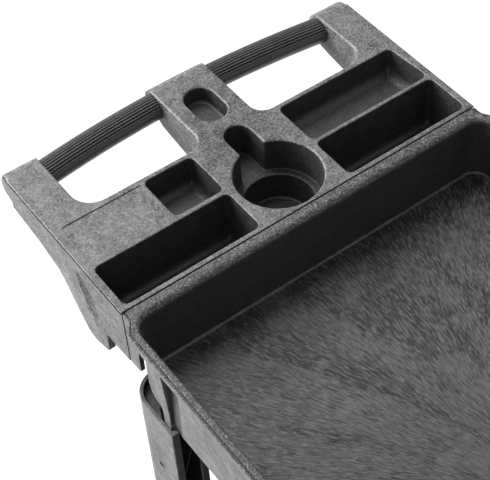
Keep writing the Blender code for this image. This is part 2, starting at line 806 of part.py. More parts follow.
def apron(drop=0.0):
    """Return the console's side profile in Y and Z, its top lowered by drop."""
    far = HANDLE_BASE + OVERSHOOT * 2
    return [
        (-OVERSHOOT, -drop),
        (-OVERSHOOT, -FASCIA_DROP + FASCIA_SLOPE * OVERSHOOT),
        (0.027, -FASCIA_DROP - FASCIA_SLOPE * 0.027),
        (0.050, -0.0765),
        (0.090, -0.0710),
        (0.128, -0.0555),
        (0.160, -0.0454),
        (0.195, -0.0400),
        (0.210, -0.0368),
        (0.2175, -0.0310),
        (far, -0.0305),
        (far, -drop),
    ]


def pockets(grow=0.0):
    """Return the bins, cup well and oval pocket as cutters, grown by a wall on request."""
    top = OVERSHOOT if grow == 0.0 else -SHELL / 2
    front, back = FRONT_BIN[0] - grow, FRONT_BIN[1] + grow
    rear, end = REAR_BIN[0] - grow, REAR_BIN[1] + grow
    inside, outside = BIN_INSIDE - grow, BIN_OUTSIDE + min(grow, CONSOLE_HALF_WIDTH - BIN_OUTSIDE - 0.001)
    draft = 0.0015
    near = max(front, GAP + 0.001) if grow else front
    long_bin = [(inside, near), (outside, near), (outside, back), (inside, back)]
    corner = BIN_CORNER + grow
    cutters = []
    for sign in (-1, 1):
        outline = rounded([(sign * x, y) for x, y in long_bin][::sign], corner, 3)
        cutters.append(prism(outline, -FRONT_BIN_DEPTH - grow, top, draft))
    small_end = -LABEL_EDGE + 0.004 - grow
    small = [(small_end, rear), (-inside, rear), (-inside, end), (small_end, end)]
    cutters.append(prism(rounded(small, corner, 3), -SMALL_BIN_DEPTH - grow, top, draft))
    long_rear = [(inside, rear - 0.001), (outside, rear - 0.001), (outside - 0.0038, end), (inside, end)]
    cutters.append(prism(rounded(long_rear, corner, 3), -LONG_BIN_DEPTH - grow, top, draft))
    oval = arc((0.0, OVAL_CENTRE + OVAL_HALF_LENGTH - OVAL_HALF_WIDTH), OVAL_HALF_WIDTH + grow, 0, 180, 8)
    oval += arc((0.0, OVAL_CENTRE - OVAL_HALF_LENGTH + OVAL_HALF_WIDTH), OVAL_HALF_WIDTH + grow, 180, 180, 8)
    cutters.append(prism(oval, -OVAL_DEPTH - grow, top, 0.001))
    cutters.append(cup_well(grow, top))
    return cutters


def cup_well(grow, top):
    """Return the stepped cup well with the slot for a mug's handle."""
    near = min(CUP_RADIUS + grow, CUP_CENTRE - GAP - 0.001)
    radius = near if grow else CUP_RADIUS
    well = moved(cylinder(radius, -CUP_LEDGE - grow, top, 32), y=CUP_CENTRE)
    bore = moved(cylinder(CUP_BORE + grow, -CUP_DEPTH - grow, -CUP_LEDGE + 0.001, 32), y=CUP_CENTRE)
    if grow == 0.0:
        for vertex in bore.vertices:
            if vertex.co.z < -CUP_LEDGE - 0.001:
                vertex.co.x *= 1 - 0.002 / CUP_BORE
                vertex.co.y = CUP_CENTRE + (vertex.co.y - CUP_CENTRE) * (1 - 0.002 / CUP_BORE)
    half = MUG_SLOT_HALF + grow
    centre = MUG_SLOT_END - MUG_SLOT_HALF
    slot = arc((0.0, centre), half, 0, 180, 8) + [(-half, CUP_CENTRE), (half, CUP_CENTRE)]
    return join(well, bore, prism(slot, -CUP_LEDGE - grow, top))


def hand_hole(sign, grow=0.0):
    """Return one hand hole as a cutter, open to the rear, grown by a wall on request."""
    inner, outer = NECK_HALF_WIDTH - grow, CHEEK_INSIDE + grow
    front = HOLE_FRONT - grow
    far = HANDLE_BASE + 5 * OVERSHOOT
    front_corners = [(inner, front, 0.017 + grow), (outer, front, 0.024 + grow)]
    corners = front_corners + [(outer, far, 0.0), (inner, far, 0.0)]
    outline = rounded([(sign * c[0], c[1], c[2]) for c in corners][::sign], 0.0, 5)
    return prism(outline, -FAR, OVERSHOOT if grow == 0.0 else OVERSHOOT * 2)


def arm_ring(front, ridge, rear, proud):
    """Return the plan of a right side arm at one height: a flank, a ridge and a rounded back."""
    side = CONSOLE_HALF_WIDTH
    inside = side - ARM_WIDTH
    edge = side - ARM_CREASE + min(proud, 0.0)
    return [
        (inside, front),
        (edge, front),
        (edge + (proud + ARM_CREASE) * 0.35, front + (ridge - front) * 0.5),
        (side + proud, ridge),
        (side + proud * 0.6, ridge + (rear - ridge) * 0.7),
        (edge - 0.001, rear),
        (inside, rear),
    ]


def side_arm():
    """Return the arm that bulges out of the console's right side, open to the inside."""
    outer = [(arm_ring(*section[1:]), section[0]) for section in ARM_SECTIONS]
    inner = []
    for height, front, ridge, rear, proud in ARM_SECTIONS[2:]:
        out = CONSOLE_HALF_WIDTH + min(proud, 0.0) - SHELL
        inside = CONSOLE_HALF_WIDTH - ARM_WIDTH - OVERSHOOT
        near, back = front + SHELL, rear - 2 * SHELL
        inner.append(([(inside, near), (out, near), (out, back), (inside, back)], height + SHELL))
    return cut(stacked(outer), stacked(inner))


def cheek_nose():
    """Return the rolled rear edge of the right cheek, which runs straight to a rounded end."""
    start, end = CHEEK_INSIDE - CHEEK_OVERLAP, CONSOLE_HALF_WIDTH - GAP
    profile = [(0.0, start), (NOSE_RADIUS, start)]
    for radius, height in arc((NOSE_RADIUS - NOSE_END, end - NOSE_END), NOSE_END, 0, 90, 3):
        profile.append((radius, height))
    profile.append((0.0, end))
    line = bow(CHEEK_INSIDE, HANDLE_BASE)
    nose = moved(turned(profile, 16, axis="X"), y=line, z=-HANDLE_DROP)
    chin = [
        (line - 0.006, -HANDLE_DROP),
        (line, -HANDLE_DROP),
        (line + NOSE_RADIUS * 0.5, -HANDLE_DROP - NOSE_RADIUS * 0.866),
        (line - 0.001, -0.0366),
        (line - 0.006, -0.0366),
    ]
    return join(nose, side_prism(chin, start, end - NOSE_END / 4))


def console_screw_places():
    """Return the x of each screw that holds the console's hook under the rim."""
    end = HOOK_HALF_WIDTH - HOOK_SCREW_END
    return (-end, -end / 3, end / 3, end)


def handle_console():
    """Return the console moulding."""
    body = prism(console_outline(), -FAR, 0.0)
    body = common(body, side_prism(apron(), -FAR, FAR))
    body = join(body, *pockets(POCKET_WALL))
    hollow = prism(console_outline(SHELL), -FAR, -SHELL)
    hollow = cut(hollow, hand_hole(1, SHELL), hand_hole(-1, SHELL), *pockets(POCKET_WALL))
    body = cut(body, hollow)
    for sign in (-1, 1):
        body = join(body, mirrored(cheek_nose(), sign, 1), mirrored(side_arm(), sign, 1))
    body = join(body, bar_curve(HANDLE_BASE, NOSE_RADIUS, NECK_HALF_WIDTH + CHEEK_OVERLAP, 3, 4))
    body = cut(body, hand_hole(1), hand_hole(-1))
    body = cut(body, bar_curve(GRIP_BASE, CORE_RADIUS + GAP, CORE_HALF_LENGTH + GAP, 8, 2))
    body = cut(body, *pockets())
    near, back = REAR_BIN[0] + 0.003, REAR_BIN[1] - 0.001
    side = -BIN_OUTSIDE + 0.001
    label = [(side, near), (-LABEL_EDGE, near), (-LABEL_EDGE, back), (side + 0.0015, back)]
    body = cut(body, prism(rounded(label, 0.003, 3), -LABEL_DEPTH, OVERSHOOT))
    low = -RIM_HEIGHT - GAP - HOOK_THICKNESS
    hook = box((-HOOK_HALF_WIDTH, -HOOK_LENGTH, low), (HOOK_HALF_WIDTH, SHELL, -RIM_HEIGHT - GAP))
    bore = cylinder(SCREW_RADIUS + GAP, low - OVERSHOOT, -RIM_HEIGHT + 0.005, 8)
    bores = [moved(bore.copy(), x, -HOOK_SCREW_INSET) for x in console_screw_places()]
    return join(body, cut(hook, *bores))


def grip_section():
    """Return the outline of a grip: plain below, with lengthwise ribs over the top."""
    plain = GRIP_RADIUS - RIB_HEIGHT
    first, last = RIB_ARC
    pitch = (last - first) / GRIP_RIBS
    points = []
    for i in range(GRIP_RIBS):
        start = first + pitch * i
        for share, radius in ((0.1, plain), (0.4, GRIP_RADIUS), (0.75, GRIP_RADIUS)):
            points.append((start + pitch * share, radius))
    below = 9
    for i in range(below):
        points.append((last + (360 - last + first) * (i + 0.5) / below, GRIP_RADIUS))
    return [(r * math.cos(math.radians(a)), r * math.sin(math.radians(a))) for a, r in points]


def ribbed_grip(sign):
    """Return one grip between a cheek and the neck, bored for the core."""
    section = bpy.data.curves.new("section", "CURVE")
    section.dimensions = "2D"
    spline = section.splines.new("POLY")
    outline = grip_section()
    spline.points.add(len(outline) - 1)
    for point, (x, y) in zip(spline.points, outline):
        point.co = (-x, y, 0.0, 1.0)
    spline.use_cyclic_u = True
    shape = temporary(section)
    path = bpy.data.curves.new("path", "CURVE")
    path.dimensions = "3D"
    path.bevel_mode = "OBJECT"
    path.bevel_object = shape
    path.use_fill_caps = True
    run = path.splines.new("POLY")
    stations = 6
    run.points.add(stations)
    low, high = NECK_HALF_WIDTH - 0.004, CHEEK_INSIDE + 0.004
    for i, point in enumerate(run.points):
        x = low + (high - low) * i / stations
        point.co = (x, bow(x, GRIP_BASE), -HANDLE_DROP, 1.0)
    mesh = tidy(evaluated_mesh(temporary(path)))
    bpy.data.objects.remove(shape)
    window = box((NECK_HALF_WIDTH + GAP, 0.0, -FAR), (CHEEK_INSIDE - GAP, FAR, FAR))
    mesh = common(mesh, window)
    mesh = cut(mesh, bar_curve(GRIP_BASE, CORE_RADIUS + GAP, CORE_HALF_LENGTH, 8, 2))
    return mirrored(mesh, sign, 1)


# Screws and casters


def pan_screw(length, head=SCREW_RADIUS * 2):
    """Return a pan-head screw whose head sits on height 0 and whose shank runs down."""
    profile = [
        (0.0, 0.0026),
        (head * 0.75, 0.0022),
        (head, GAP),
        (SCREW_RADIUS, GAP),
        (SCREW_RADIUS, -length + 0.003),
        (0.0, -length),
    ]
    return turned(profile, 8)


def add_leg_screws(group):
    """Make the screws that hold each leg's inner side to the plugs in its ends."""
    screw = pan_screw(LEG_WALL + PLUG_THICKNESS - 0.002)
    screw.transform(Matrix.Rotation(math.radians(-90), 4, "Y"))
    moved(screw, x=LEG_IN, y=-LEG_INSET - LEG_WIDTH / 2)
    ends = {
        "top": CART_HEIGHT - TOP_TUB_DEPTH - PLUG_REACH / 2,
        "bottom": BASE_TOP + PLUG_REACH / 2,
    }
    for corner, (sign_x, end) in CORNERS.items():
        twin = mirrored(screw, sign_x, end)
        middle = SEAM_Y if end > 0 else SEAM_Y - TUB_LENGTH
        for level, height in ends.items():
            finish("leg_screw_" + level + "_" + corner, twin, ZINC, group, (0.0, middle, height))


def add_console_screws(group):
    """Make the screws that run up through the console's hook into the rim."""
    screw = pan_screw(HOOK_THICKNESS + 0.008, HOOK_SCREW_HEAD)
    screw.transform(Matrix.Rotation(math.radians(180), 4, "X"))
    y = SEAM_Y - HOOK_SCREW_INSET
    height = CART_HEIGHT - RIM_HEIGHT - GAP - HOOK_THICKNESS
    for number, x in enumerate(console_screw_places(), 1):
        finish("console_screw_" + str(number), screw, ZINC, group, (x, y, height))


def plate_bolts():
    """Return the offsets of a caster plate's four bolts."""
    half_x, half_y = BOLT_SPACING[0] / 2, BOLT_SPACING[1] / 2
    return [(x, y) for x in (-half_x, half_x) for y in (-half_y, half_y)]


def mounting_plate():
    """Return a caster's plate, its top at height 0, with its four screws in place."""
    half_x, half_y = PLATE_WIDTH / 2, PLATE_LENGTH / 2
    outline = rounded([(-half_x, -half_y), (half_x, -half_y), (half_x, half_y), (-half_x, half_y)], 0.008, 3)
    plate = prism(outline, -PLATE_THICKNESS, 0.0)
    head = cylinder(SCREW_RADIUS * 2, -PLATE_THICKNESS - SCREW_HEAD, -PLATE_THICKNESS / 2, 6)
    shank = cylinder(SCREW_RADIUS, -PLATE_THICKNESS / 2 - 0.0005, SCREW_LENGTH - PLATE_THICKNESS, 8)
    screw = join(head, shank)
    return join(plate, *[moved(screw.copy(), x, y) for x, y in plate_bolts()])


def swivel_plate():
    """Return the swivel caster's plate with the upper race pressed into it."""
    low = -PLATE_THICKNESS - CROWN_GAP / 2 + GAP
    race = [
        (CROWN_RADIUS - 0.004, -PLATE_THICKNESS + 0.001),
        (CROWN_RADIUS - 0.004, low),
        (CROWN_RADIUS - 0.008, low),
        (CROWN_RADIUS - 0.0105, low + 0.0017),
        (PIN_RADIUS + 0.007, low + 0.0017),
        (PIN_RADIUS + 0.007, -PLATE_THICKNESS + 0.001),
    ]
    plate = join(mounting_plate(), turned(race, 16, ring=True))
    pin_hole = cylinder(PIN_RADIUS + GAP, -0.02, 0.02, 12)
    seat = cylinder(PIN_RADIUS * 1.55 + GAP, -0.0016, 0.02, 12)
    return cut(plate, pin_hole, seat)


def ball_race():
    """Return the ball cage between the plate's race and the fork's crown."""
    top = -PLATE_THICKNESS - CROWN_GAP / 2 + 0.0017
    low = -PLATE_THICKNESS - CROWN_GAP + GAP
    inner, outer = PIN_RADIUS + 0.0075, CROWN_RADIUS - 0.0115
    middle = (top + low) / 2
    profile = [(outer - 0.001, top), (outer, middle), (outer - 0.001, low), (inner, low), (inner, top)]
    return turned(profile, 12, ring=True)


def fork_cheek(x, top, axle_y, flange):
    """Return one side plate of a fork, from its flange down to the axle."""
    low = -AXLE_DROP
    end = arc((axle_y, low), 0.013, 180, 180, 6)
    outline = [(flange[1], top), (flange[0], top)] + end
    side = side_prism(outline, x - FORK_THICKNESS / 2, x + FORK_THICKNESS / 2)
    bore = moved(cylinder(AXLE_RADIUS + GAP, x - 0.01, x + 0.01, 12, "X"), y=axle_y, z=low)
    return cut(side, bore)


def fork_gap():
    """Return how far each fork cheek's middle lies from the wheel's middle plane."""
    return HUB_WIDTH / 2 + GAP + 0.0007 + FORK_THICKNESS / 2


def swivel_fork():
    """Return the swivel fork: a crown with two side plates that trail to the axle."""
    top = -PLATE_THICKNESS - CROWN_GAP - GAP
    crown = cylinder(CROWN_RADIUS, top - FORK_THICKNESS, top, 20)
    shoulder = box(
        (-fork_gap() - FORK_THICKNESS / 2, -0.020, top - FORK_THICKNESS),
        (fork_gap() + FORK_THICKNESS / 2, 0.014, top),
    )
    body = join(crown, shoulder)
    for sign in (-1, 1):
        body = join(body, fork_cheek(sign * fork_gap(), top - 0.0012, -TRAIL, (-0.020, 0.014)))
    return cut(body, cylinder(PIN_RADIUS + GAP, -0.1, 0.1, 12))


def rigid_fork():
    """Return the rigid fork, whose side plates are welded to its mounting plate."""
    body = mounting_plate()
    half = HUB_WIDTH / 2 + 0.004
    for sign in (-1, 1):
        body = join(body, fork_cheek(sign * fork_gap(), -0.001, 0.0, (-half, half)))
    return body


def kingpin():
    """Return the swivel's pin, headed in the plate's seat and below the crown."""
    crown_low = -PLATE_THICKNESS - CROWN_GAP - GAP - FORK_THICKNESS
    head = PIN_RADIUS * 1.55
    profile = [
        (0.0, -GAP),
        (head, -GAP),
        (head, -0.0016 + GAP),
        (PIN_RADIUS, -0.0016 + GAP),
        (PIN_RADIUS, crown_low - GAP),
        (head, crown_low - GAP),
        (head, crown_low - 0.003),
        (head * 0.6, crown_low - 0.0045),
        (0.0, crown_low - 0.0045),
    ]
    return turned(profile, 12)


def axle_bolt():
    """Return the axle with its head outside the left fork cheek."""
    outside = fork_gap() + FORK_THICKNESS / 2
    shank = cylinder(AXLE_RADIUS, -outside - 0.001, outside + 0.008, 12, "X")
    head = cylinder(0.0082, -outside - 0.005, -outside - GAP, 6, "X")
    return join(head, shank)


def axle_nut():
    """Return the lock nut outside the right fork cheek."""
    outside = fork_gap() + FORK_THICKNESS / 2
    nut = cylinder(0.0082, outside + GAP, outside + 0.0062, 6, "X")
    return cut(nut, cylinder(AXLE_RADIUS + GAP, outside - 0.01, outside + 0.02, 12, "X"))


def axle_sleeve():
    """Return the spacer tube that the wheel turns on."""
    half = fork_gap() - FORK_THICKNESS / 2 - GAP
    inner, outer = AXLE_RADIUS + GAP, AXLE_RADIUS + GAP + SLEEVE_WALL
    profile = [(outer, half), (outer, -half), (inner, -half), (inner, half)]
    return turned(profile, 12, ring=True, axis="X")


def wheel_core():
    """Return the wheel's moulded core: hub, dished web and rim."""
    bore = AXLE_RADIUS + GAP + SLEEVE_WALL + GAP
    rim = WHEEL_RADIUS - TYRE_THICKNESS
    half_hub, half_rim = HUB_WIDTH / 2, TREAD_WIDTH / 2 - 0.001
    side = [
        (bore, half_hub),
        (HUB_RADIUS - 0.002, half_hub),
        (HUB_RADIUS, half_hub - 0.006),
        (HUB_RADIUS + 0.004, 0.005),
        (rim - 0.009, 0.0035),
        (rim - 0.005, half_rim - 0.001),
        (rim, half_rim),
    ]
    profile = side + [(radius, -height) for radius, height in reversed(side)]
    return facet_down(turned(profile, WHEEL_SIDES, ring=True, axis="X"))


def facet_down(mesh):
    """Turn a wheel's piece about X so that one of its facets faces the floor."""
    mesh.transform(Matrix.Rotation(math.pi / WHEEL_SIDES, 4, "X"))
    return mesh


def tyre():
    """Return the tyre, with rounded shoulders, whose tread facets lie on the wheel's circle."""
    seat = WHEEL_RADIUS - TYRE_THICKNESS + GAP
    half = TREAD_WIDTH / 2
    tread = WHEEL_RADIUS / math.cos(math.pi / WHEEL_SIDES)
    side = [(seat, half - 0.001), (tread - 0.006, half), (tread - 0.0012, half - 0.004)]
    crown = [(tread, half * 0.45)]
    upper = side + crown
    profile = upper + [(radius, -height) for radius, height in reversed(upper)]
    return facet_down(turned(profile, WHEEL_SIDES, ring=True, axis="X"))


def add_caster(corner, group, swivel):
    """Make the named pieces of one caster at its corner."""
    sign_x, end = CORNERS[corner]
    place = (sign_x * CASTER_X, REAR_CASTER_Y if end > 0 else FRONT_CASTER_Y, CASTER_HEIGHT - GAP)
    carrier = frame_empty("caster_" + corner, group, place)
    if swivel:
        finish("swivel_plate_" + corner, swivel_plate(), ZINC, group, parent=carrier, smooth=35)
        finish("ball_race_" + corner, ball_race(), STEEL, group, parent=carrier, smooth=35)
        finish("kingpin_" + corner, kingpin(), STEEL, group, parent=carrier, smooth=35)
        finish("fork_" + corner, swivel_fork(), ZINC, group, parent=carrier, smooth=35)
    else:
        finish("fork_" + corner, rigid_fork(), ZINC, group, parent=carrier, smooth=35)
    hub = (0.0, -TRAIL if swivel else 0.0, -AXLE_DROP)
    finish("axle_bolt_" + corner, axle_bolt(), STEEL, group, hub, carrier, 35)
    finish("axle_nut_" + corner, axle_nut(), STEEL, group, hub, carrier, 35)
    finish("axle_sleeve_" + corner, axle_sleeve(), BUSH, group, hub, carrier, 35)
    finish("wheel_core_" + corner, wheel_core(), WHEEL_BLACK, group, hub, carrier, 35)
    finish("tyre_" + corner, tyre(), RUBBER, group, hub, carrier, 35)


def build():
    """Build the cart."""
    clear_scene()
    cart = collection("utility_cart")
    seam_top = (0.0, SEAM_Y, CART_HEIGHT)
    finish("top_shelf", top_shelf(), CHARCOAL, cart, seam_top)
    finish("bottom_shelf", base_shelf(), CHARCOAL, cart, (0.0, SEAM_Y, BASE_TOP))
    finish("handle_console", handle_console(), CHARCOAL, cart, seam_top, smooth=35)
    core = bar_curve(GRIP_BASE, CORE_RADIUS, CORE_HALF_LENGTH, 8, 2)
    finish("handle_core_bar", core, STEEL, cart, seam_top)
    finish("grip_left", ribbed_grip(-1), GRIP_BLACK, cart, seam_top)
    finish("grip_right", ribbed_grip(1), GRIP_BLACK, cart, seam_top)
    rear_leg = leg()
    for corner, (sign_x, end) in CORNERS.items():
        middle = SEAM_Y if end > 0 else SEAM_Y - TUB_LENGTH
        finish("leg_" + corner, mirrored(rear_leg, sign_x, end), CHARCOAL, cart, (0.0, middle, LEG_FOOT))
    add_leg_screws(cart)
    add_console_screws(cart)
    for corner, (sign_x, end) in CORNERS.items():
        add_caster(corner, cart, end > 0)


build()
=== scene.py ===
"""Looks of the utility cart: fine mouldings, finishes, studio and camera.

Lengths are metres. Mouldings at the handle end are drawn with the rim's top at
height 0 and the seam between tray and console at y = 0, then put in place.
"""

import logging
import math
from dataclasses import dataclass
from enum import Enum
from typing import Callable, Sequence

import bmesh
import bpy
from mathutils import Matrix, Vector

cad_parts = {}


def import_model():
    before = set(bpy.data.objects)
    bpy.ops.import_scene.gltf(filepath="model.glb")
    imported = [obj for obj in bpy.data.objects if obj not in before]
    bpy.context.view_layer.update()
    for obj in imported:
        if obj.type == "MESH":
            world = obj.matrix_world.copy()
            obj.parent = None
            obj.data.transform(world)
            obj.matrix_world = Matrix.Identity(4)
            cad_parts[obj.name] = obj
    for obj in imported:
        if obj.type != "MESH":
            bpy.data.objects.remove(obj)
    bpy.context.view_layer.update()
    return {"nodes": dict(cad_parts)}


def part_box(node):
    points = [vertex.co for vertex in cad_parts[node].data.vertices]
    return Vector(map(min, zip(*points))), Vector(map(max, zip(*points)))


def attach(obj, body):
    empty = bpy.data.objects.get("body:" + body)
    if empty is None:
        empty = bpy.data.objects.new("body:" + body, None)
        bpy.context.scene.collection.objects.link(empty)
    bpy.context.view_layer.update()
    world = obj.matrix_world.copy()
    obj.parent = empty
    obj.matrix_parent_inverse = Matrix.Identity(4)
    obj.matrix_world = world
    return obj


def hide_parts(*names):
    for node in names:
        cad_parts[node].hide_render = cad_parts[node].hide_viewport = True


Point = tuple[float, float]
Outline = list[Point]
Ring = tuple[Outline, float]
Colour = tuple[float, float, float]
Sizes = tuple[float, ...]
Mesh = bpy.types.Mesh
Material = bpy.types.Material
Socket = bpy.types.NodeSocket
Tree = bpy.types.NodeTree

# How far a cutter runs past what it cuts
OVERSHOOT = 0.010
# How far two forms of one solid run into each other
OVERLAP = 0.001
# How far from a form a face's centre may lie and still belong to it
NEAR = 0.001
# Farther out than anything on the cart
FAR = 0.5
# Lowest and highest slope (normal's z) of a face that belongs to a rolled edge, which takes the lighter finish of a
# painted highlight
ROLLED = (0.25, 0.93)
# Noises: features per metre, octaves, share of the finer ones and distortion
CLOUDS = (22.0, 4.0, 0.6, 1.6)
MOTTLE = (120.0, 3.0, 0.7, 0.8)
STREAKS = (1.0, 3.0, 0.7, 0.3)
LOG = logging.getLogger("cart")


class Hand(Enum):
    """The two sides of the cart, by the sign of their x."""

    LEFT = -1
    RIGHT = 1


class Corner(Enum):
    """The four corners of the cart: sign of x, and sign of y."""

    FRONT_LEFT = (-1, -1)
    FRONT_RIGHT = (1, -1)
    REAR_LEFT = (-1, 1)
    REAR_RIGHT = (1, 1)

    @property
    def label(self) -> str:
        """The corner's name in the node names."""
        return self.name.lower()

    @property
    def is_rear(self) -> bool:
        """Whether the corner is at the handle end."""
        return self.value[1] > 0


def arc(centre: Point, radius: float, start: float, turn: float, steps: int) -> Outline:
    """Give points along an arc.

    Args:
        centre: Middle of the arc.
        radius: Its radius.
        start: First angle in degrees.
        turn: Sweep in degrees, positive anticlockwise.
        steps: Number of chords.

    Returns:
        The points, both ends included.
    """
    angles = [math.radians(start + turn * i / steps) for i in range(steps + 1)]
    return [(centre[0] + radius * math.cos(a), centre[1] + radius * math.sin(a)) for a in angles]


def rounded(corners: Sequence[Sequence[float]], radius: float = 0.0, steps: int = 8) -> Outline:
    """Round the corners of a closed outline.

    Args:
        corners: Points, each with a radius of its own as an optional third value.
        radius: Radius of the corners that carry none.
        steps: Chords of each corner.

    Returns:
        The outline with arcs for corners.
    """
    outline: Outline = []
    for index, corner in enumerate(corners):
        here = Vector(corner[:2])
        size = corner[2] if len(corner) > 2 else radius
        if size <= 0:
            outline.append((here.x, here.y))
            continue
        before = (Vector(corners[index - 1][:2]) - here).normalized()
        after = (Vector(corners[(index + 1) % len(corners)][:2]) - here).normalized()
        half = before.angle(after) / 2
        centre = here + (before + after).normalized() * (size / math.sin(half))
        first = here + before * (size / math.tan(half)) - centre
        last = here + after * (size / math.tan(half)) - centre
        start = math.degrees(math.atan2(first.y, first.x))
        turn = (math.degrees(math.atan2(last.y, last.x)) - start + 180.0) % 360.0 - 180.0
        outline += arc((centre.x, centre.y), size, start, turn, steps)
    return outline


def offset(outline: Outline, distance: float) -> Outline:
    """Move an anticlockwise outline outwards, or inwards where the distance is negative.

    Args:
        outline: Closed outline.
        distance: How far each edge moves along its own normal.

    Returns:
        An outline with as many points.
    """
    count = len(outline)
    moved_outline: Outline = []
    for i, (x, y) in enumerate(outline):
        before = Vector((x - outline[i - 1][0], y - outline[i - 1][1]))
        after = Vector((outline[(i + 1) % count][0] - x, outline[(i + 1) % count][1] - y))
        first = Vector((before.y, -before.x)).normalized()
        last = Vector((after.y, -after.x)).normalized()
        shift = (first + last) / max(1.0 + first.dot(last), 0.3) * distance
        moved_outline.append((x + shift.x, y + shift.y))
    return moved_outline


def roll(radius: float, steps: int) -> list[Point]:
    """Give the points of a quarter round between a wall and the face above it.

    Args:
        radius: Radius of the rounding.
        steps: Number of chords.

    Returns:
        Pairs of how far a point lies in from the wall and below the face, wall first.
    """
    angles = [math.pi / 2 * i / steps for i in range(steps + 1)]
    return [(radius * (1 - math.cos(a)), radius * (1 - math.sin(a))) for a in angles]


def smoothed(points: Sequence[Sequence[float]], steps: int) -> list[Sizes]:
    """Pass a smooth curve through a row of points of any dimension.

    Args:
        points: The points, in order.
        steps: Chords between two of them.

    Returns:
        The points and those between them.
    """
    curve: list[Sizes] = []
    last = len(points) - 1
    for i in range(last):
        before, here, after, beyond = points[max(i - 1, 0)], points[i], points[i + 1], points[min(i + 2, last)]
        for j in range(steps):
            t = j / steps
            shares = (-t * (1 - t) ** 2 / 2, (2 - 5 * t**2 + 3 * t**3) / 2, t * (1 + 4 * t - 3 * t**2) / 2,
                      -(t**2) * (1 - t) / 2)
            rows = zip(before, here, after, beyond)
            curve.append(tuple(sum(s * v for s, v in zip(shares, row)) for row in rows))
    curve.append(tuple(points[last]))
    return curve


def tidy(form: bmesh.types.BMesh, name: str, weld: float = 0.000002) -> Mesh:
    """Weld a form, turn its faces outwards and make a mesh of it.

    Args:
        form: The form, which is freed.
        name: Name of the mesh.
        weld: Distance under which vertices are one.

    Returns:
        The new mesh.
    """
    bmesh.ops.remove_doubles(form, verts=form.verts, dist=weld)
    bmesh.ops.dissolve_degenerate(form, dist=weld / 2, edges=form.edges)
    bmesh.ops.recalc_face_normals(form, faces=form.faces)
    mesh = bpy.data.meshes.new(name)
    form.to_mesh(mesh)
    form.free()
    return mesh


def loft(rows: Sequence[Sequence[Sequence[float]]], name: str) -> Mesh:
    """Skin a solid over rows that all have as many points.

    Args:
        rows: Points of each row, from one end of the solid to the other.
        name: Name of the mesh.

    Returns:
        The closed solid.
    """
    form = bmesh.new()
    loops = [[form.verts.new(point) for point in row] for row in rows]
    for first, last in zip(loops, loops[1:]):
        for i in range(len(first)):
            form.faces.new((first[i - 1], first[i], last[i], last[i - 1]))
    form.faces.new(loops[0])
    form.faces.new(loops[-1])
    return tidy(form, name)


def stack(rings: Sequence[Ring]) -> Mesh:
    """Loft a solid through level outlines, low to high."""
    return loft([[(x, y, height) for x, y in outline] for outline, height in rings], "stack")


def bead(outline: Outline, radius: float, top: float, steps: int = 4, way: int = -1) -> list[Ring]:
    """Give the rings that round the edge between a wall and the level face at its top.

    Args:
        outline: Anticlockwise outline of the wall.
        radius: Radius of the rounding.
        top: Height of the level face.
        steps: Number of chords.
        way: -1 where the wall draws in towards the face, 1 where it widens.

    Returns:
        The rings, wall first.
    """
    return [(offset(outline, way * inset), top - drop) for inset, drop in roll(radius, steps)]


def prism(outline: Outline, low: float, high: float) -> Mesh:
    """Raise an outline from low to high."""
    return stack([(outline, low), (outline, high)])


def eased(outline: Outline, low: float, high: float, radius: float, steps: int = 4) -> Mesh:
    """Raise an outline with its top and bottom edges rounded.

    Args:
        outline: Anticlockwise outline.
        low: Height of the underside.
        high: Height of the top.
        radius: Radius of both edges.
        steps: Chords of each rounding.

    Returns:
        The closed solid.
    """
    rings: list[Ring] = [(offset(outline, -inset), low + rise) for inset, rise in reversed(roll(radius, steps))]
    return stack(rings + bead(outline, radius, high, steps))


def pocket(outline: Outline, depth: float, mouth: float, foot: float, draft: float = 0.0) -> Mesh:
    """Shape the cutter of a pocket with a rounded mouth at height 0 and a rounded floor edge.

    Args:
        outline: Anticlockwise outline of the pocket under its mouth.
        depth: Depth of its floor.
        mouth: Radius that rolls out onto the top face.
        foot: Radius between wall and floor.
        draft: How far the walls lean in on the way down.

    Returns:
        The closed cutter, open above height 0.
    """
    rings: list[Ring] = [(offset(outline, -draft - inset), rise - depth)
                         for inset, rise in reversed(roll(foot, 4))]
    return stack(rings + bead(outline, mouth, 0.0, way=1) + [(offset(outline, mouth), OVERSHOOT)])


def box(low: Sequence[float], high: Sequence[float]) -> Mesh:
    """Make a box between two corners."""
    corners = [(low[0], low[1]), (high[0], low[1]), (high[0], high[1]), (low[0], high[1])]
    return prism(corners, low[2], high[2])


def turned(profile: Sequence[Point], sides: int, ring: bool = False) -> Mesh:
    """Turn a profile about Z.

    Args:
        profile: Points of radius and height, down the outer side.
        sides: Facets round the axis.
        ring: Whether the profile is closed and stays clear of the axis.

    Returns:
        The closed solid.
    """
    form = bmesh.new()
    loops = []
    for i in range(sides):
        angle = 2 * math.pi * i / sides
        loops.append([form.verts.new((r * math.cos(angle), r * math.sin(angle), z)) for r, z in profile])
    spans = len(profile) if ring else len(profile) - 1
    for i in range(sides):
        for j in range(spans):
            k = (j + 1) % len(profile)
            form.faces.new((loops[i - 1][j], loops[i][j], loops[i][k], loops[i - 1][k]))
    return tidy(form, "turned", 0.00001)


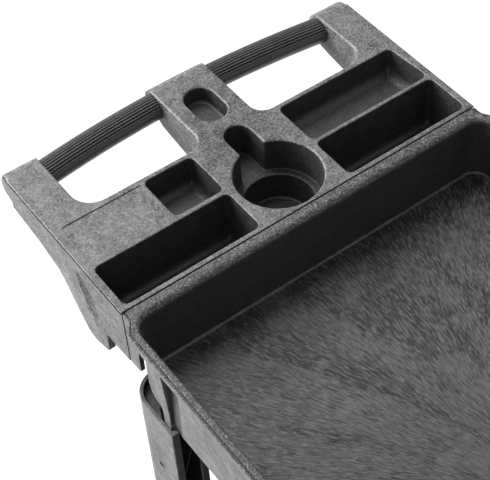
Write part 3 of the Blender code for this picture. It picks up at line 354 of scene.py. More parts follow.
def boolean(body: Mesh, tool: Mesh, operation: str) -> Mesh:
    """Combine two solids.

    Args:
        body: The solid that is kept.
        tool: The solid that acts on it.
        operation: UNION, DIFFERENCE or INTERSECT.

    Returns:
        The new solid.
    """
    items = [bpy.data.objects.new("work", mesh) for mesh in (body, tool)]
    for item in items:
        bpy.context.scene.collection.objects.link(item)
    step = items[0].modifiers.new("step", "BOOLEAN")
    step.operation = operation
    step.solver = "EXACT"
    step.object = items[1]
    bpy.context.view_layer.update()
    graph = bpy.context.evaluated_depsgraph_get()
    result = bpy.data.meshes.new_from_object(items[0].evaluated_get(graph))
    for item in items:
        bpy.data.objects.remove(item)
    form = bmesh.new()
    form.from_mesh(result)
    return tidy(form, "combined")


def cut(body: Mesh, *tools: Mesh) -> Mesh:
    """Take each tool out of a solid."""
    for tool in tools:
        body = boolean(body, tool, "DIFFERENCE")
    return body


def join(body: Mesh, *tools: Mesh) -> Mesh:
    """Unite each tool with a solid."""
    for tool in tools:
        body = boolean(body, tool, "UNION")
    return body


def shifted(mesh: Mesh, x: float = 0.0, y: float = 0.0, z: float = 0.0) -> Mesh:
    """Return a copy of a mesh, shifted."""
    twin = mesh.copy()
    twin.transform(Matrix.Translation((x, y, z)))
    return twin


def mirrored(mesh: Mesh, sign_x: int, sign_y: int = 1) -> Mesh:
    """Return a copy of a mesh, mirrored where a sign is negative."""
    twin = mesh.copy()
    twin.transform(Matrix.Diagonal((sign_x, sign_y, 1.0, 1.0)))
    if sign_x * sign_y < 0:
        twin.flip_normals()
    return twin


def on_side(mesh: Mesh) -> Mesh:
    """Turn a solid drawn in plan so that its X, Y and Z become Y, Z and X."""
    mesh.transform(Matrix(((0, 0, 1, 0), (1, 0, 0, 0), (0, 1, 0, 0), (0, 0, 0, 1))))
    return mesh


def add_node(tree: Tree, kind: str, **values: object) -> bpy.types.Node:
    """Add a node with its inputs set.

    Args:
        tree: The tree that it joins.
        kind: Blender's name of the node, after ShaderNode.
        values: What its inputs hold, by their names with _ for a space.

    Returns:
        The node.
    """
    node = tree.nodes.new("ShaderNode" + kind)
    for name, value in values.items():
        node.inputs[name.replace("_", " ")].default_value = value
    return node


class Sheet:
    """A node material while it is being wired."""

    def __init__(self, name: str) -> None:
        """Start an empty Principled material.

        Args:
            name: Name of the material.
        """
        self.material = bpy.data.materials.new(name)
        self.material.use_nodes = True
        self.tree = self.material.node_tree
        self.shader = self.tree.nodes["Principled BSDF"]
        self.place = add_node(self.tree, "TexCoord").outputs["Object"]

    def link(self, source: Socket, target: Socket) -> None:
        """Join two sockets."""
        self.tree.links.new(source, target)

    def math(self, operation: str, *values: object, clamp: bool = False) -> Socket:
        """Add a math node.

        Args:
            operation: Blender's name of the operation.
            values: Sockets or numbers for its inputs.
            clamp: Whether the result stays between 0 and 1.

        Returns:
            Its output.
        """
        node = add_node(self.tree, "Math")
        node.operation = operation
        node.use_clamp = clamp
        for socket, value in zip(node.inputs, values):
            if isinstance(value, (int, float)):
                socket.default_value = value
            else:
                self.link(value, socket)
        return node.outputs[0]

    def noise(
        self, scale: float, detail: float = 2.0, rough: float = 0.5, twist: float = 0.0, place: Socket | None = None
    ) -> Socket:
        """Add a noise texture.

        Args:
            scale: Features per metre, or per unit of place.
            detail: Octaves.
            rough: Share of the finer octaves.
            twist: Distortion.
            place: Coordinates other than the object's own.

        Returns:
            Its value, about 0.5 in the middle.
        """
        node = add_node(self.tree, "TexNoise", Scale=scale, Detail=detail, Roughness=rough, Distortion=twist)
        self.link(place or self.place, node.inputs["Vector"])
        return node.outputs[0]

    def spread(self, value: Socket, low: float, high: float) -> Socket:
        """Stretch the range from low to high over 0 to 1, clamped."""
        node = add_node(self.tree, "MapRange", From_Min=low, From_Max=high)
        self.link(value, node.inputs["Value"])
        return node.outputs[0]

    def blend(self, share: Socket, first: object, second: object) -> Socket:
        """Mix two colours.

        Args:
            share: How much of the second shows.
            first: Colour or socket at share 0.
            second: Colour or socket at share 1.

        Returns:
            The mixed colour.
        """
        node = add_node(self.tree, "Mix")
        node.data_type = "RGBA"
        self.link(share, node.inputs["Factor"])
        for socket, value in ((node.inputs[6], first), (node.inputs[7], second)):
            if isinstance(value, tuple):
                socket.default_value = (*value, 1.0)
            else:
                self.link(value, socket)
        return node.outputs[2]

    def bump(self, height: Socket, depth: float, strength: float) -> None:
        """Raise the surface by a texture.

        Args:
            height: The texture, from 0 to 1.
            depth: Real height of 1, in metres.
            strength: Share of it that shows.
        """
        node = add_node(self.tree, "Bump", Strength=strength, Distance=depth)
        self.link(height, node.inputs["Height"])
        self.link(node.outputs[0], self.shader.inputs["Normal"])


class Skin(Enum):
    """How the foam moulding's skin came out of the mould."""

    CLOUDY = "cloudy"
    FLOW = "flow"


@dataclass(frozen=True)
class Foam:
    """Charcoal structural foam, with clouds, grain and pale specks in its skin.

    Attributes:
        dark: Colour of the darker clouds.
        light: Colour of the paler clouds.
        clouds: Share of the broad clouds.
        mottle: Share of the patches a few millimetres wide.
        grain: Share of the fine grain.
        specks: Share of the pale specks.
        grain_size: Grain features per metre.
        relief: Height of the grain in metres.
        roughness: Roughness between the specks.
        skin: Which kind of skin it is.
        gate: Point that the flow marks fan out from, or the middle of a patch of painted shade.
        painted_shade: How much darker that patch of painted shade is.
    """

    dark: Colour = (0.010, 0.011, 0.012)
    light: Colour = (0.310, 0.313, 0.318)
    clouds: float = 0.28
    mottle: float = 0.28
    grain: float = 0.38
    specks: float = 0.38
    grain_size: float = 400.0
    relief: float = 0.00022
    roughness: float = 0.52
    skin: Skin = Skin.CLOUDY
    gate: Point = (0.0, 0.0)
    painted_shade: float = 0.0

    def material(self, name: str) -> Material:
        """Wire the material.

        Args:
            name: Name of the material.

        Returns:
            The material.
        """
        sheet = Sheet(name)
        clouds = sheet.spread(sheet.noise(*CLOUDS), 0.34, 0.66)
        grain = sheet.spread(sheet.noise(self.grain_size, 2.0, 0.6), 0.42, 0.58)
        if self.skin is Skin.FLOW:
            shade, relief = self.flow_marks(sheet, clouds, grain)
        else:
            shade, relief = self.plain_skin(sheet, clouds, grain)
        sheet.link(sheet.blend(shade, self.dark, self.light), sheet.shader.inputs["Base Color"])
        rough = sheet.math("MULTIPLY_ADD", grain, 0.14, self.roughness - 0.07)
        sheet.link(rough, sheet.shader.inputs["Roughness"])
        sheet.shader.inputs["Specular IOR Level"].default_value = 0.45
        sheet.bump(relief, self.relief, 0.55)
        return sheet.material

    def plain_skin(self, sheet: Sheet, clouds: Socket, grain: Socket) -> tuple[Socket, Socket]:
        """Wire the skin away from the flow marks.

        Args:
            sheet: The material being wired.
            clouds: Its clouds.
            grain: Its grain.

        Returns:
            The shade and the relief.
        """
        mottle = sheet.spread(sheet.noise(*MOTTLE), 0.40, 0.60)
        specks = sheet.spread(sheet.noise(self.grain_size * 1.45, 1.0, 0.4), 0.58, 0.70)
        shade = sheet.math("MULTIPLY", clouds, self.clouds)
        for part, share in ((mottle, self.mottle), (grain, self.grain), (specks, self.specks)):
            shade = sheet.math("MULTIPLY_ADD", part, share, shade)
        # Painted shade: a patch round the gate is darkened, standing in for the shade over the middle of the
        # console's top.
        if self.painted_shade:
            patch = sheet.spread(self.from_gate(sheet)[2], 0.100, 0.030)
            shade = sheet.math("SUBTRACT", shade, sheet.math("MULTIPLY", patch, self.painted_shade))
        return shade, sheet.math("MULTIPLY_ADD", specks, 0.5, grain)

    def flow_marks(self, sheet: Sheet, clouds: Socket, grain: Socket) -> tuple[Socket, Socket]:
        """Wire the streaks that fan out from the gate over a tray's floor.

        Args:
            sheet: The material being wired.
            clouds: Its clouds.
            grain: Its grain.

        Returns:
            The shade and the relief.
        """
        across, along, reach = self.from_gate(sheet)
        angle = sheet.math("ARCTAN2", across, along)
        wander = sheet.math("MULTIPLY_ADD", sheet.noise(14.0, 2.0), 0.04, angle)
        fine = sheet.noise(*STREAKS, self.polar(sheet, wander, reach, 150.0, 90.0))
        coarse = sheet.noise(*STREAKS, self.polar(sheet, wander, reach, 85.0, 50.0))
        lobes = sheet.noise(1.0, 2.0, 0.5, 0.3, self.polar(sheet, wander, reach, 2.2, 2.5))
        torn = sheet.spread(sheet.math("ABSOLUTE", sheet.math("SUBTRACT", lobes, 0.5)), 0.055, 0.005)
        lines = sheet.spread(fine, 0.43, 0.57)
        strokes = sheet.spread(coarse, 0.53, 0.62)
        flecks = sheet.spread(fine, 0.57, 0.64)
        loud = sheet.math("MULTIPLY_ADD", torn, 0.65, 0.35)
        shade = sheet.math("MULTIPLY_ADD", lines, 0.54, sheet.math("MULTIPLY_ADD", clouds, 0.32, 0.14))
        shade = sheet.math("SUBTRACT", shade, sheet.math("MULTIPLY", torn, 0.32))
        for marks, share in ((strokes, -1.20), (flecks, 1.90)):
            shade = sheet.math("MULTIPLY_ADD", sheet.math("MULTIPLY", marks, loud), share, shade)
        shade = sheet.math("MULTIPLY_ADD", grain, 0.10, shade, clamp=True)
        return shade, sheet.math("MULTIPLY_ADD", grain, 0.3, lines)

    def from_gate(self, sheet: Sheet) -> tuple[Socket, ...]:
        """Wire how far a point lies from the gate: across, along and straight."""
        split = add_node(sheet.tree, "SeparateXYZ")
        sheet.link(sheet.place, split.inputs[0])
        across = sheet.math("SUBTRACT", split.outputs[0], self.gate[0])
        along = sheet.math("SUBTRACT", split.outputs[1], self.gate[1])
        square = sheet.math("MULTIPLY_ADD", along, along, sheet.math("MULTIPLY", across, across))
        return across, along, sheet.math("SQRT", square)

    @staticmethod
    def polar(sheet: Sheet, angle: Socket, reach: Socket, turns: float, steps: float) -> Socket:
        """Join an angle and a distance from the gate into coordinates for a texture.

        Args:
            sheet: The material being wired.
            angle: Angle about the gate in radians.
            reach: Distance from the gate in metres.
            turns: Features per radian.
            steps: Features per metre.

        Returns:
            The coordinates.
        """
        node = add_node(sheet.tree, "CombineXYZ")
        sheet.link(sheet.math("MULTIPLY", angle, turns), node.inputs[0])
        sheet.link(sheet.math("MULTIPLY", reach, steps), node.inputs[1])
        return node.outputs[0]


@dataclass(frozen=True)
class Plain:
    """A fine-grained finish: plastic, rubber or plated steel.

    Attributes:
        colour: Its colour.
        roughness: Roughness in the middle of its range.
        metallic: 1 for bare or plated metal.
        grain: Grain features per metre.
        depth: Height of the grain in metres.
        variation: How far the colour strays, as a share.
    """

    colour: Colour
    roughness: float = 0.5
    metallic: float = 0.0
    grain: float = 900.0
    depth: float = 0.00008
    variation: float = 0.18

    def material(self, name: str) -> Material:
        """Wire the material.

        Args:
            name: Name of the material.

        Returns:
            The material.
        """
        sheet = Sheet(name)
        clouds = sheet.spread(sheet.noise(45.0, 4.0, 0.6, 0.8), 0.32, 0.68)
        grain = sheet.spread(sheet.noise(self.grain, 3.0, 0.7), 0.32, 0.70)
        shade = sheet.math("MULTIPLY_ADD", grain, 0.45, sheet.math("MULTIPLY", clouds, 0.55))
        low = tuple(c * (1 - self.variation) for c in self.colour)
        high = tuple(min(c * (1 + self.variation), 1.0) for c in self.colour)
        sheet.link(sheet.blend(shade, low, high), sheet.shader.inputs["Base Color"])
        rough = sheet.math("MULTIPLY_ADD", clouds, 0.16, self.roughness - 0.08)
        sheet.link(rough, sheet.shader.inputs["Roughness"])
        sheet.shader.inputs["Metallic"].default_value = self.metallic
        sheet.bump(grain, self.depth, 0.5)
        return sheet.material


@dataclass
class Studio:
    """Pale floor, white surround, soft lamps and the camera.

    Attributes:
        frame_width: Width of the picture in pixels.
        focal_pixels: Focal length in pixels of that picture.
        centre_pixels: Point of the picture that the camera's axis meets.
        frame_height: Height of the picture in pixels.
        place: Where the camera stands.
        back: Direction from the object to the camera.
        floor_reach: Half of the floor's width.
        floor_levels: Height of the floor's underside and of its top.
        floor_shade: Grey of the floor as a surface.
        floor_glow: Light that the floor shows to the camera where nothing shades it.
        fill: Strength of the world's light on the cart.
        fill_colour: Its colour.
        middle: Where the lamps point.
        lamps: Name, place, side of the square and power in watts of each lamp.
    """

    frame_width: float = 490.0
    frame_height: float = 480.0
    focal_pixels: float = 1336.9
    centre_pixels: Point = (324.48, 233.28)
    place: Sizes = (-0.5259, -0.4401, 1.8101)
    back: Sizes = (-0.4039, -0.5090, 0.7601)
    floor_reach: float = 12.0
    floor_levels: Point = (-0.02, -0.0005)
    floor_shade: float = 0.42
    floor_glow: float = 0.72
    fill: float = 0.15
    fill_colour: Colour = (0.9, 0.95, 1.0)
    middle: Sizes = (0.0, 0.15, 0.75)
    lamps: tuple[tuple[str, Sizes, float, float], ...] = (
        ("side_lamp", (-1.75, 1.85, 1.45), 1.4, 70.0),
        ("back_lamp", (-0.3, 1.75, 2.75), 2.0, 58.0),
    )

    def camera(self) -> None:
        """Stand the camera where the photograph was taken from."""
        data = bpy.data.cameras.new("camera")
        data.sensor_width = 36.0
        data.lens = self.focal_pixels / self.frame_width * data.sensor_width
        data.shift_x = (self.frame_width / 2 - self.centre_pixels[0]) / self.frame_width
        data.shift_y = (self.centre_pixels[1] - self.frame_height / 2) / self.frame_width
        item = bpy.data.objects.new("camera", data)
        back = Vector(self.back).normalized()
        right = Vector((0.0, 0.0, 1.0)).cross(back).normalized()
        turn = Matrix((right, back.cross(right), back)).transposed().to_4x4()
        item.matrix_world = Matrix.Translation(self.place) @ turn
        bpy.context.scene.collection.objects.link(item)
        bpy.context.scene.camera = item

    def surround(self) -> None:
        """Give the world a white that the camera and reflections see, and a dim fill for the rest."""
        world = bpy.data.worlds.new("surround")
        bpy.context.scene.world = world
        world.use_nodes = True
        tree = world.node_tree
        fill = tree.nodes["Background"]
        fill.inputs["Color"].default_value = (*self.fill_colour, 1.0)
        fill.inputs["Strength"].default_value = self.fill
        mix = self.seen_mix(tree, fill, add_node(tree, "Background", Strength=1.0))
        tree.links.new(mix, tree.nodes["World Output"].inputs[0])

    @staticmethod
    def seen_mix(tree: Tree, hidden: bpy.types.Node, seen: bpy.types.Node) -> Socket:
        """Show one shader to camera, glossy and transmission rays, and another to the rest.

        Args:
            tree: The tree that both belong to.
            hidden: The shader for the rest.
            seen: The shader that those rays see.

        Returns:
            The mixed shader.
        """
        path = add_node(tree, "LightPath")
        total = path.outputs["Is Camera Ray"]
        for kind in ("Is Glossy Ray", "Is Transmission Ray"):
            add = add_node(tree, "Math")
            add.operation = "MAXIMUM"
            tree.links.new(total, add.inputs[0])
            tree.links.new(path.outputs[kind], add.inputs[1])
            total = add.outputs[0]
        mix = add_node(tree, "MixShader")
        for source, socket in zip((total, hidden.outputs[0], seen.outputs[0]), mix.inputs):
            tree.links.new(source, socket)
        return mix.outputs[0]

    def floor(self) -> None:
        """Lay the pale floor, which stays white where nothing shades it."""
        reach = self.floor_reach
        low, top = self.floor_levels
        mesh = box((-reach, -reach, low), (reach, reach, top))
        item = bpy.data.objects.new("studio_floor", mesh)
        bpy.context.scene.collection.objects.link(item)
        material = bpy.data.materials.new("pale_floor")
        material.use_nodes = True
        tree = material.node_tree
        matt = tree.nodes["Principled BSDF"]
        matt.inputs["Base Color"].default_value = (*[self.floor_shade] * 3, 1.0)
        matt.inputs["Roughness"].default_value = 0.9
        matt.inputs["Specular IOR Level"].default_value = 0.1
        glow = add_node(tree, "Emission", Strength=self.floor_glow)
        total = add_node(tree, "AddShader")
        tree.links.new(matt.outputs[0], total.inputs[0])
        tree.links.new(self.seen_mix(tree, add_node(tree, "Emission", Strength=0.0), glow), total.inputs[1])
        tree.links.new(total.outputs[0], tree.nodes["Material Output"].inputs[0])
        mesh.materials.append(material)

    def lamp(self, name: str, place: Sequence[float], aim: Sequence[float], size: float, power: float) -> None:
        """Hang one soft lamp.

        Args:
            name: Name of the lamp.
            place: Where it hangs.
            aim: What it points at.
            size: Side of its square.
            power: Power in watts.
        """
        data = bpy.data.lights.new(name, "AREA")
        data.shape = "SQUARE"
        data.size = size
        data.energy = power
        item = bpy.data.objects.new(name, data)
        item.location = place
        item.rotation_euler = (Vector(aim) - Vector(place)).to_track_quat("-Z", "Y").to_euler()
        bpy.context.scene.collection.objects.link(item)

    def build(self) -> None:
        """Set up the whole studio."""
        self.camera()
        self.surround()
        self.floor()
        for name, place, size, power in self.lamps:
            self.lamp(name, place, self.middle, size, power)
        bpy.context.scene.view_settings.view_transform = "Standard"


@dataclass
class Moulding:
    """Shared sizes and steps of the cart's mouldings.

    Attributes:
        half_width: Half of the tray's width at its rim.
        length: Length of a tray.
        console_setback: How far the console is narrower than the rim, a side.
        gap: Clearance between pieces that only touch.
        shell: Thickness of the console's top and sides, and of the tray's plates that meet them.
        fascia: Drop of the edge under the seam that both share, and its slope.
        tongue_reach: How far a tongue of the tray reaches down into a leg.
        leg_proud: How far a leg stands out past the rim.
        leg_depth: A leg's depth across the cart.
        leg_width: A leg's width along the cart.
        leg_inset: How far a leg stands in from the tray's end.
        leg_wall: Wall of a leg.
        leg_lip: How far a leg's front edges turn in.
        leg_lip_length: Length of those edges.
        leg_corner: Radius of a leg's outer corner.
        leg_drop: How far a leg's top stays under the tray's lower edge.
        plug_reach: How far a plug reaches into a leg.
        plug_thickness: Thickness of a plug.
        plug_clearance: How far a plug stays behind a leg's front edges.
    """

    half_width: float = 0.225
    length: float = 0.730
    console_setback: float = 0.009
    gap: float = 0.0003
    shell: float = 0.0045
    fascia: Point = (0.0741, 0.07)
    tongue_reach: float = 0.022
    leg_proud: float = 0.001
    leg_depth: float = 0.035
    leg_width: float = 0.0745
    leg_inset: float = 0.0055
    leg_wall: float = 0.004
    leg_lip: float = 0.0045
    leg_lip_length: float = 0.004
    leg_corner: float = 0.028
    leg_drop: float = 0.0065
    plug_reach: float = 0.040
    plug_thickness: float = 0.0125
    plug_clearance: float = 0.0025

    @property
    def leg_out(self) -> float:
        """X of a leg's outer face."""
        return self.half_width + self.leg_proud

    @property
    def leg_in(self) -> float:
        """X of a leg's inner face."""
        return self.leg_out - self.leg_depth

    @property
    def leg_front(self) -> float:
        """How far a leg's front edge lies from the tray's end."""
        return self.leg_inset + self.leg_width

    @property
    def plug_front(self) -> float:
        """How far a plug's front face lies from the tray's end."""
        return self.leg_front - self.leg_lip_length - self.plug_clearance

    def at_corners(self, mesh: Mesh) -> list[Mesh]:
        """Copy a mesh drawn for the rear right corner to all four corners.

        Args:
            mesh: The solid at the rear right corner.

        Returns:
            Its four copies.
        """
        copies = []
        for corner in Corner:
            sign_x, sign_y = corner.value
            copies.append(shifted(mirrored(mesh, sign_x, sign_y), y=0.0 if corner.is_rear else -self.length))
        return copies

    @staticmethod
    def place(mesh: Mesh, name: str, at: Sequence[float], smooth: float = 32.0) -> bpy.types.Object:
        """Make the named piece of a mesh, with its place in the mesh.

        Args:
            mesh: The finished solid.
            name: Name of the piece.
            at: How far the mesh is shifted.
            smooth: Angle in degrees above which an edge stays sharp.

        Returns:
            The piece.
        """
        mesh.transform(Matrix.Translation(at))
        mesh.name = name
        mesh.shade_smooth()
        mesh.set_sharp_from_angle(angle=math.radians(smooth))
        item = bpy.data.objects.new(name, mesh)
        bpy.context.scene.collection.objects.link(item)
        weigh = item.modifiers.new("even", "WEIGHTED_NORMAL")
        weigh.keep_sharp = True
        weigh.weight = 80
        return item

    @staticmethod
    def dress(
        item: bpy.types.Object, finishes: Sequence[Material],
        choose: Callable[[Vector, Vector], int] = lambda centre, normal: 0,
    ) -> None:
        """Give a piece its finishes, face by face.

        Args:
            item: The piece.
            finishes: The materials, in order.
            choose: Picks a finish from a face's centre and normal.
        """
        item.data.materials.clear()
        for finish in finishes:
            item.data.materials.append(finish)
        for face in item.data.polygons:
            face.material_index = choose(face.center, face.normal)

    @staticmethod
    def settle(item: bpy.types.Object, node: str, body: str = "cart") -> None:
        """Hide a node and let a piece take its place, on the body that it rides on.

        Args:
            item: The piece.
            node: The node that it replaces.
            body: The body that it rides on.
        """
        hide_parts(node)
        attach(item, body)
        LOG.info("%s: %d faces", item.name, len(item.data.polygons))


@dataclass
class HandleConsole(Moulding):
    """The console behind the tray: bins, cup well, hand holes, nose and side arms.

    Attributes:
        pocket_wall: Thickness of the bins' walls.
        handle_base: How far behind the seam the nose's centre line lies in the middle.
        bow_depth: How far that line comes forward at the hand holes' outer ends.
        nose_radius: Radius of the rolled rear edge.
        nose_end: Radius of the rolled edge's outer ends.
        neck_half: Half width of the neck between the hand holes.
        cheek_width: Width of the cheek outside each hand hole.
        hole_front: How far behind the seam the hand holes begin.
        edge: Radius of the top's outer edge.
        seam: Width of the open joint between its front and the tray's rim.
        lip_groove: Top, foot and depth of the groove under that edge.
        mouth: Radius of the bins' upper edges.
        foot: Radius between walls and floors of the front bins, the small bin and the long rear bin.
        slot_fillet: Radius where the mug slot opens into the cup well.
        slot_mouth: Radius of the cup well's upper edge.
        cup: Y of the cup well's axis, radius of its mouth, radius of its bore.
        cup_levels: Depth of the cup well's ledge and of its floor.
        grip_setback: How far before the nose's line that of the grips and the core bar lies.
        core_radius: Radius of the core bar.
        core_setback: How far in from the console's side the core bar ends.
        bin_corner: Radius of the bins' corners.
        bin_setback: How far in from the console's side the bins end.
        bin_inside: How far from the middle the bins begin.
        bin_draft: How far a bin's walls lean in on the way down.
        front_bin: Y at which the front bins begin and end.
        rear_bin: Y at which the rear bins begin and end.
        bin_depths: Depth of the front bins, the small bin and the long rear bin.
        slot_half: Half width of the mug slot.
        slot_end: Y at which the mug slot ends.
        well_rounds: Radius at the cup well's ledge, and how far the wall above it leans in.
        bore_rounds: Radius at the bore's mouth and at its floor, and how far its wall leans in.
        hole_corners: Radius of a hand hole's corners at the neck and at the cheek.
        hole_mouth: Radius of the hand holes' upper edge.
        oval: Y of the oval pocket's middle, its half length, half width and depth.
        oval_rounds: Radius at its mouth and at its floor, and how far its wall leans in.
        label_edge: How far from the middle the label's recess begins.
        label_depth: Its depth.
        arm_width: How far in from the console's side an arm begins.
        arm_crease: How far in from the console's side an arm's outline turns out.
        hook: How far in from the console's side the hook under the tray's rim ends, its reach under the rim,
            the depth of its top, and its thickness.
        dent_size: Half length, half width and half height of the lens that hollows a side, and the hollow's depth.
        dent_place: Y and Z of its middle, and its lean in degrees.
        arm_sections: Height, then y of front, ridge and rear, then how far the ridge stands out.
    """

    pocket_wall: float = 0.0032
    handle_base: float = 0.2239
    bow_depth: float = 0.0127
    nose_radius: float = 0.016
    nose_end: float = 0.0045
    neck_half: float = 0.0347
    cheek_width: float = 0.040
    hole_front: float = 0.1296
    grip_setback: float = 0.003
    core_radius: float = 0.008
    core_setback: float = 0.024
    edge: float = 0.0014
    seam: float = 0.0010
    lip_groove: Sizes = (0.0018, 0.0046, 0.0020)
    mouth: float = 0.0012
    foot: Sizes = (0.008, 0.009, 0.011)
    slot_fillet: float = 0.0045
    slot_mouth: float = 0.0022
    bin_corner: float = 0.0065
    bin_setback: float = 0.0075
    bin_inside: float = 0.0545
    bin_draft: float = 0.0015
    front_bin: Point = (0.0063, 0.061)
    rear_bin: Point = (0.0665, 0.1235)
    bin_depths: Sizes = (0.062, 0.035, 0.032)
    cup: Sizes = (0.0506, 0.0457, 0.0367)
    cup_levels: Point = (0.041, 0.073)
    slot_half: float = 0.0148
    slot_end: float = 0.133
    well_rounds: Point = (0.0012, 0.0006)
    bore_rounds: Sizes = (0.0016, 0.003, 0.002)
    hole_corners: Point = (0.017, 0.024)
    hole_mouth: float = 0.0026
    oval: Sizes = (0.176, 0.028, 0.018, 0.020)
    oval_rounds: Sizes = (0.0022, 0.004, 0.001)
    label_edge: float = 0.116
    label_depth: float = 0.0010
    arm_width: float = 0.008
    arm_crease: float = 0.0002
    dent_size: Sizes = (0.046, 0.016, 0.014, 0.0036)
    dent_place: Sizes = (0.069, -0.044, -26.0)
    hook: Sizes = (0.041, 0.0085, 0.0123, 0.0045)
    arm_sections: tuple[Sizes, ...] = (
        (-0.1100, 0.0500, 0.0550, 0.0600, -0.0030),
        (-0.1080, 0.0465, 0.0600, 0.0660, 0.0012),
        (-0.1040, 0.0452, 0.0670, 0.0715, 0.0028),
        (-0.0980, 0.0450, 0.0750, 0.0790, 0.0032),
        (-0.0860, 0.0450, 0.0850, 0.0910, 0.0030),
        (-0.0750, 0.0452, 0.0940, 0.1030, 0.0026),
        (-0.0600, 0.0510, 0.1050, 0.1210, 0.0017),
        (-0.0500, 0.0555, 0.1130, 0.1320, 0.0009),
        (-0.0320, 0.0620, 0.1200, 0.1400, -0.0004),
    )

    @property
    def half(self) -> float:
        """Half of the console's own width."""
        return self.half_width - self.console_setback

    @property
    def cheek_inside(self) -> float:
        """X at which the hand holes end."""
        return self.half - self.cheek_width

    @property
    def line_drop(self) -> float:
        """How far under the top the handle's centre line lies."""
        return self.nose_radius + 0.0001

    def bow(self, x: float, base: float) -> float:
        """Return how far behind the seam the handle's centre line lies at x."""
        span = self.cheek_inside - OVERLAP
        return base - self.bow_depth * (min(abs(x), span) / span) ** 2

    def bar(self, base: float, radius: float, start: float, end: float, sides: int = 40) -> Mesh:
        """Shape a round bar along the handle's centre line.

        Args:
            base: Its line's distance behind the seam in the middle.
            radius: Its radius.
            start: Lowest x.
            end: Highest x.
            sides: Facets round it.

        Returns:
            The closed bar.
        """
        section = arc((0.0, 0.0), radius, 0.0, 360.0, sides)[:-1]
        stations = max(4, round((end - start) / 0.010))
        places = [(start + (end - start) * i / stations, section) for i in range(stations + 1)]
        return self.along(places, base, self.line_drop)

    def along(self, places: Sequence[tuple[float, Outline]], base: float, drop: float) -> Mesh:
        """Skin a solid over sections along the handle's bowed line.

        Args:
            places: X of each section, with its outline in Y and Z about the line.
            base: The line's distance behind the seam in the middle.
            drop: How far the line lies under the top.

        Returns:
            The closed solid.
        """
        rows = []
        for x, section in places:
            y = self.bow(x, base)
            rows.append([(x, y + dy, dz - drop) for dy, dz in section])
        return loft(rows, "along")

    def plan(self, inset: float = 0.0) -> Outline:
        """Return the console's outline in plan up to the nose's centre line, drawn in by inset."""
        half, base = self.half - inset, self.handle_base - inset
        span = self.cheek_inside - OVERLAP
        stations = 24
        rear = []
        for i in range(stations + 1):
            x = span * (1 - 2 * i / stations)
            rear.append((x, self.bow(x, base), 0.0))
        side = self.bow(half, base)
        near = self.seam + inset
        corner = self.nose_end if inset == 0.0 else 0.0
        right, left = [(half, near), (half, side, corner)], [(-half, side, corner)]
        return rounded([(-half, near)] + right + rear + left, 0.0, 6)

    def outer(self) -> Mesh:
        """Return the console's outer form, cut along the slanting lower edge."""
        plan = self.plan()
        top, low, depth = self.lip_groove
        drawn_in = offset(plan, -depth)
        rings: list[Ring] = [(plan, -FAR), (plan, -low), (drawn_in, -low), (drawn_in, -top), (plan, -top)]
        return boolean(stack(rings + bead(plan, self.edge, 0.0)), self.apron(), "INTERSECT")

    def apron(self) -> Mesh:
        """Return the block whose side profile trims the console's lower edge."""
        far = self.handle_base + 2 * OVERSHOOT
        drop, slope = self.fascia
        profile = [
            (-OVERSHOOT, OVERSHOOT), (-OVERSHOOT, -drop + slope * OVERSHOOT), (0.027, -drop - slope * 0.027, 0.030),
            (0.050, -0.0765, 0.030), (0.090, -0.0710, 0.060), (0.128, -0.0555, 0.060), (0.160, -0.0454, 0.060),
            (0.195, -0.0400, 0.020), (0.210, -0.0368, 0.010), (0.2175, -0.0310, 0.006), (far, -0.0305),
            (far, OVERSHOOT),
        ]
        return on_side(prism(rounded(profile, 0.0, 4), -FAR, FAR))

    def bin_plans(self) -> list[tuple[Outline, float, float]]:
        """Return each bin's four corners under its mouth, with its depth and the radius at its floor."""
        inside, outside = self.bin_inside, self.half - self.bin_setback
        near, mid = self.front_bin
        rear, end = self.rear_bin
        small_outside = self.label_edge - 0.004
        deep, small_depth, long_depth = self.bin_depths
        long_front = [(inside, near), (outside, near), (outside, mid), (inside, mid)]
        flip = [(-x, y) for x, y in reversed(long_front)]
        small = [(-small_outside, rear), (-inside, rear), (-inside, end), (-small_outside, end)]
        long_rear = [(inside, rear - 0.001), (outside, rear - 0.001), (outside - 0.0038, end), (inside, end)]
        low, small_low, long_low = self.foot
        return [(long_front, deep, low), (flip, deep, low), (small, small_depth, small_low),
                (long_rear, long_depth, long_low)]

    def bin_ring(self, corners: Outline, inset: float) -> Outline:
        """Return a bin's outline drawn in by inset, with its corners rounded."""
        return rounded(offset(corners, -inset), max(self.bin_corner - inset, 0.0012), 7)

    def bin_cutter(self, corners: Outline, depth: float, foot: float) -> Mesh:
        """Shape the cutter of one bin, with a rolled mouth and a generous radius at its floor.

        Args:
            corners: Its corners under its mouth.
            depth: Depth of its floor.
            foot: Radius at its floor.

        Returns:
            The closed cutter.
        """
        rings: list[Ring] = [(self.bin_ring(corners, self.bin_draft + inset), rise - depth)
                             for inset, rise in reversed(roll(foot, 6))]
        rings += [(self.bin_ring(corners, -inset), -drop) for inset, drop in roll(self.mouth, 4)]
        return stack(rings + [(self.bin_ring(corners, -self.mouth), OVERSHOOT)])

    def capsule(self, centre: float, half_length: float, half_width: float) -> Outline:
        """Return a round-ended slot along Y, anticlockwise."""
        straight = half_length - half_width
        far = arc((0.0, centre + straight), half_width, 0.0, 180.0, 20)
        return far + arc((0.0, centre - straight), half_width, 180.0, 180.0, 20)

    def keyhole(self) -> Outline:
        """Return the outline of the wide well and the mug slot that opens into it."""
        centre, radius, _ = self.cup
        side = self.slot_half + self.slot_fillet
        rise = math.sqrt((radius + self.slot_fillet) ** 2 - side ** 2)
        turn = math.degrees(math.atan2(rise, side))
        well = arc((0.0, centre), radius, 180.0 - turn, 180.0 + 2 * turn, 90)
        right = arc((side, centre + rise), self.slot_fillet, 180.0 + turn, -turn, 8)[1:]
        end = arc((0.0, self.slot_end - self.slot_half), self.slot_half, 0.0, 180.0, 20)
        left = arc((-side, centre + rise), self.slot_fillet, 0.0, -turn, 8)[:-1]
        return well + right + end + left

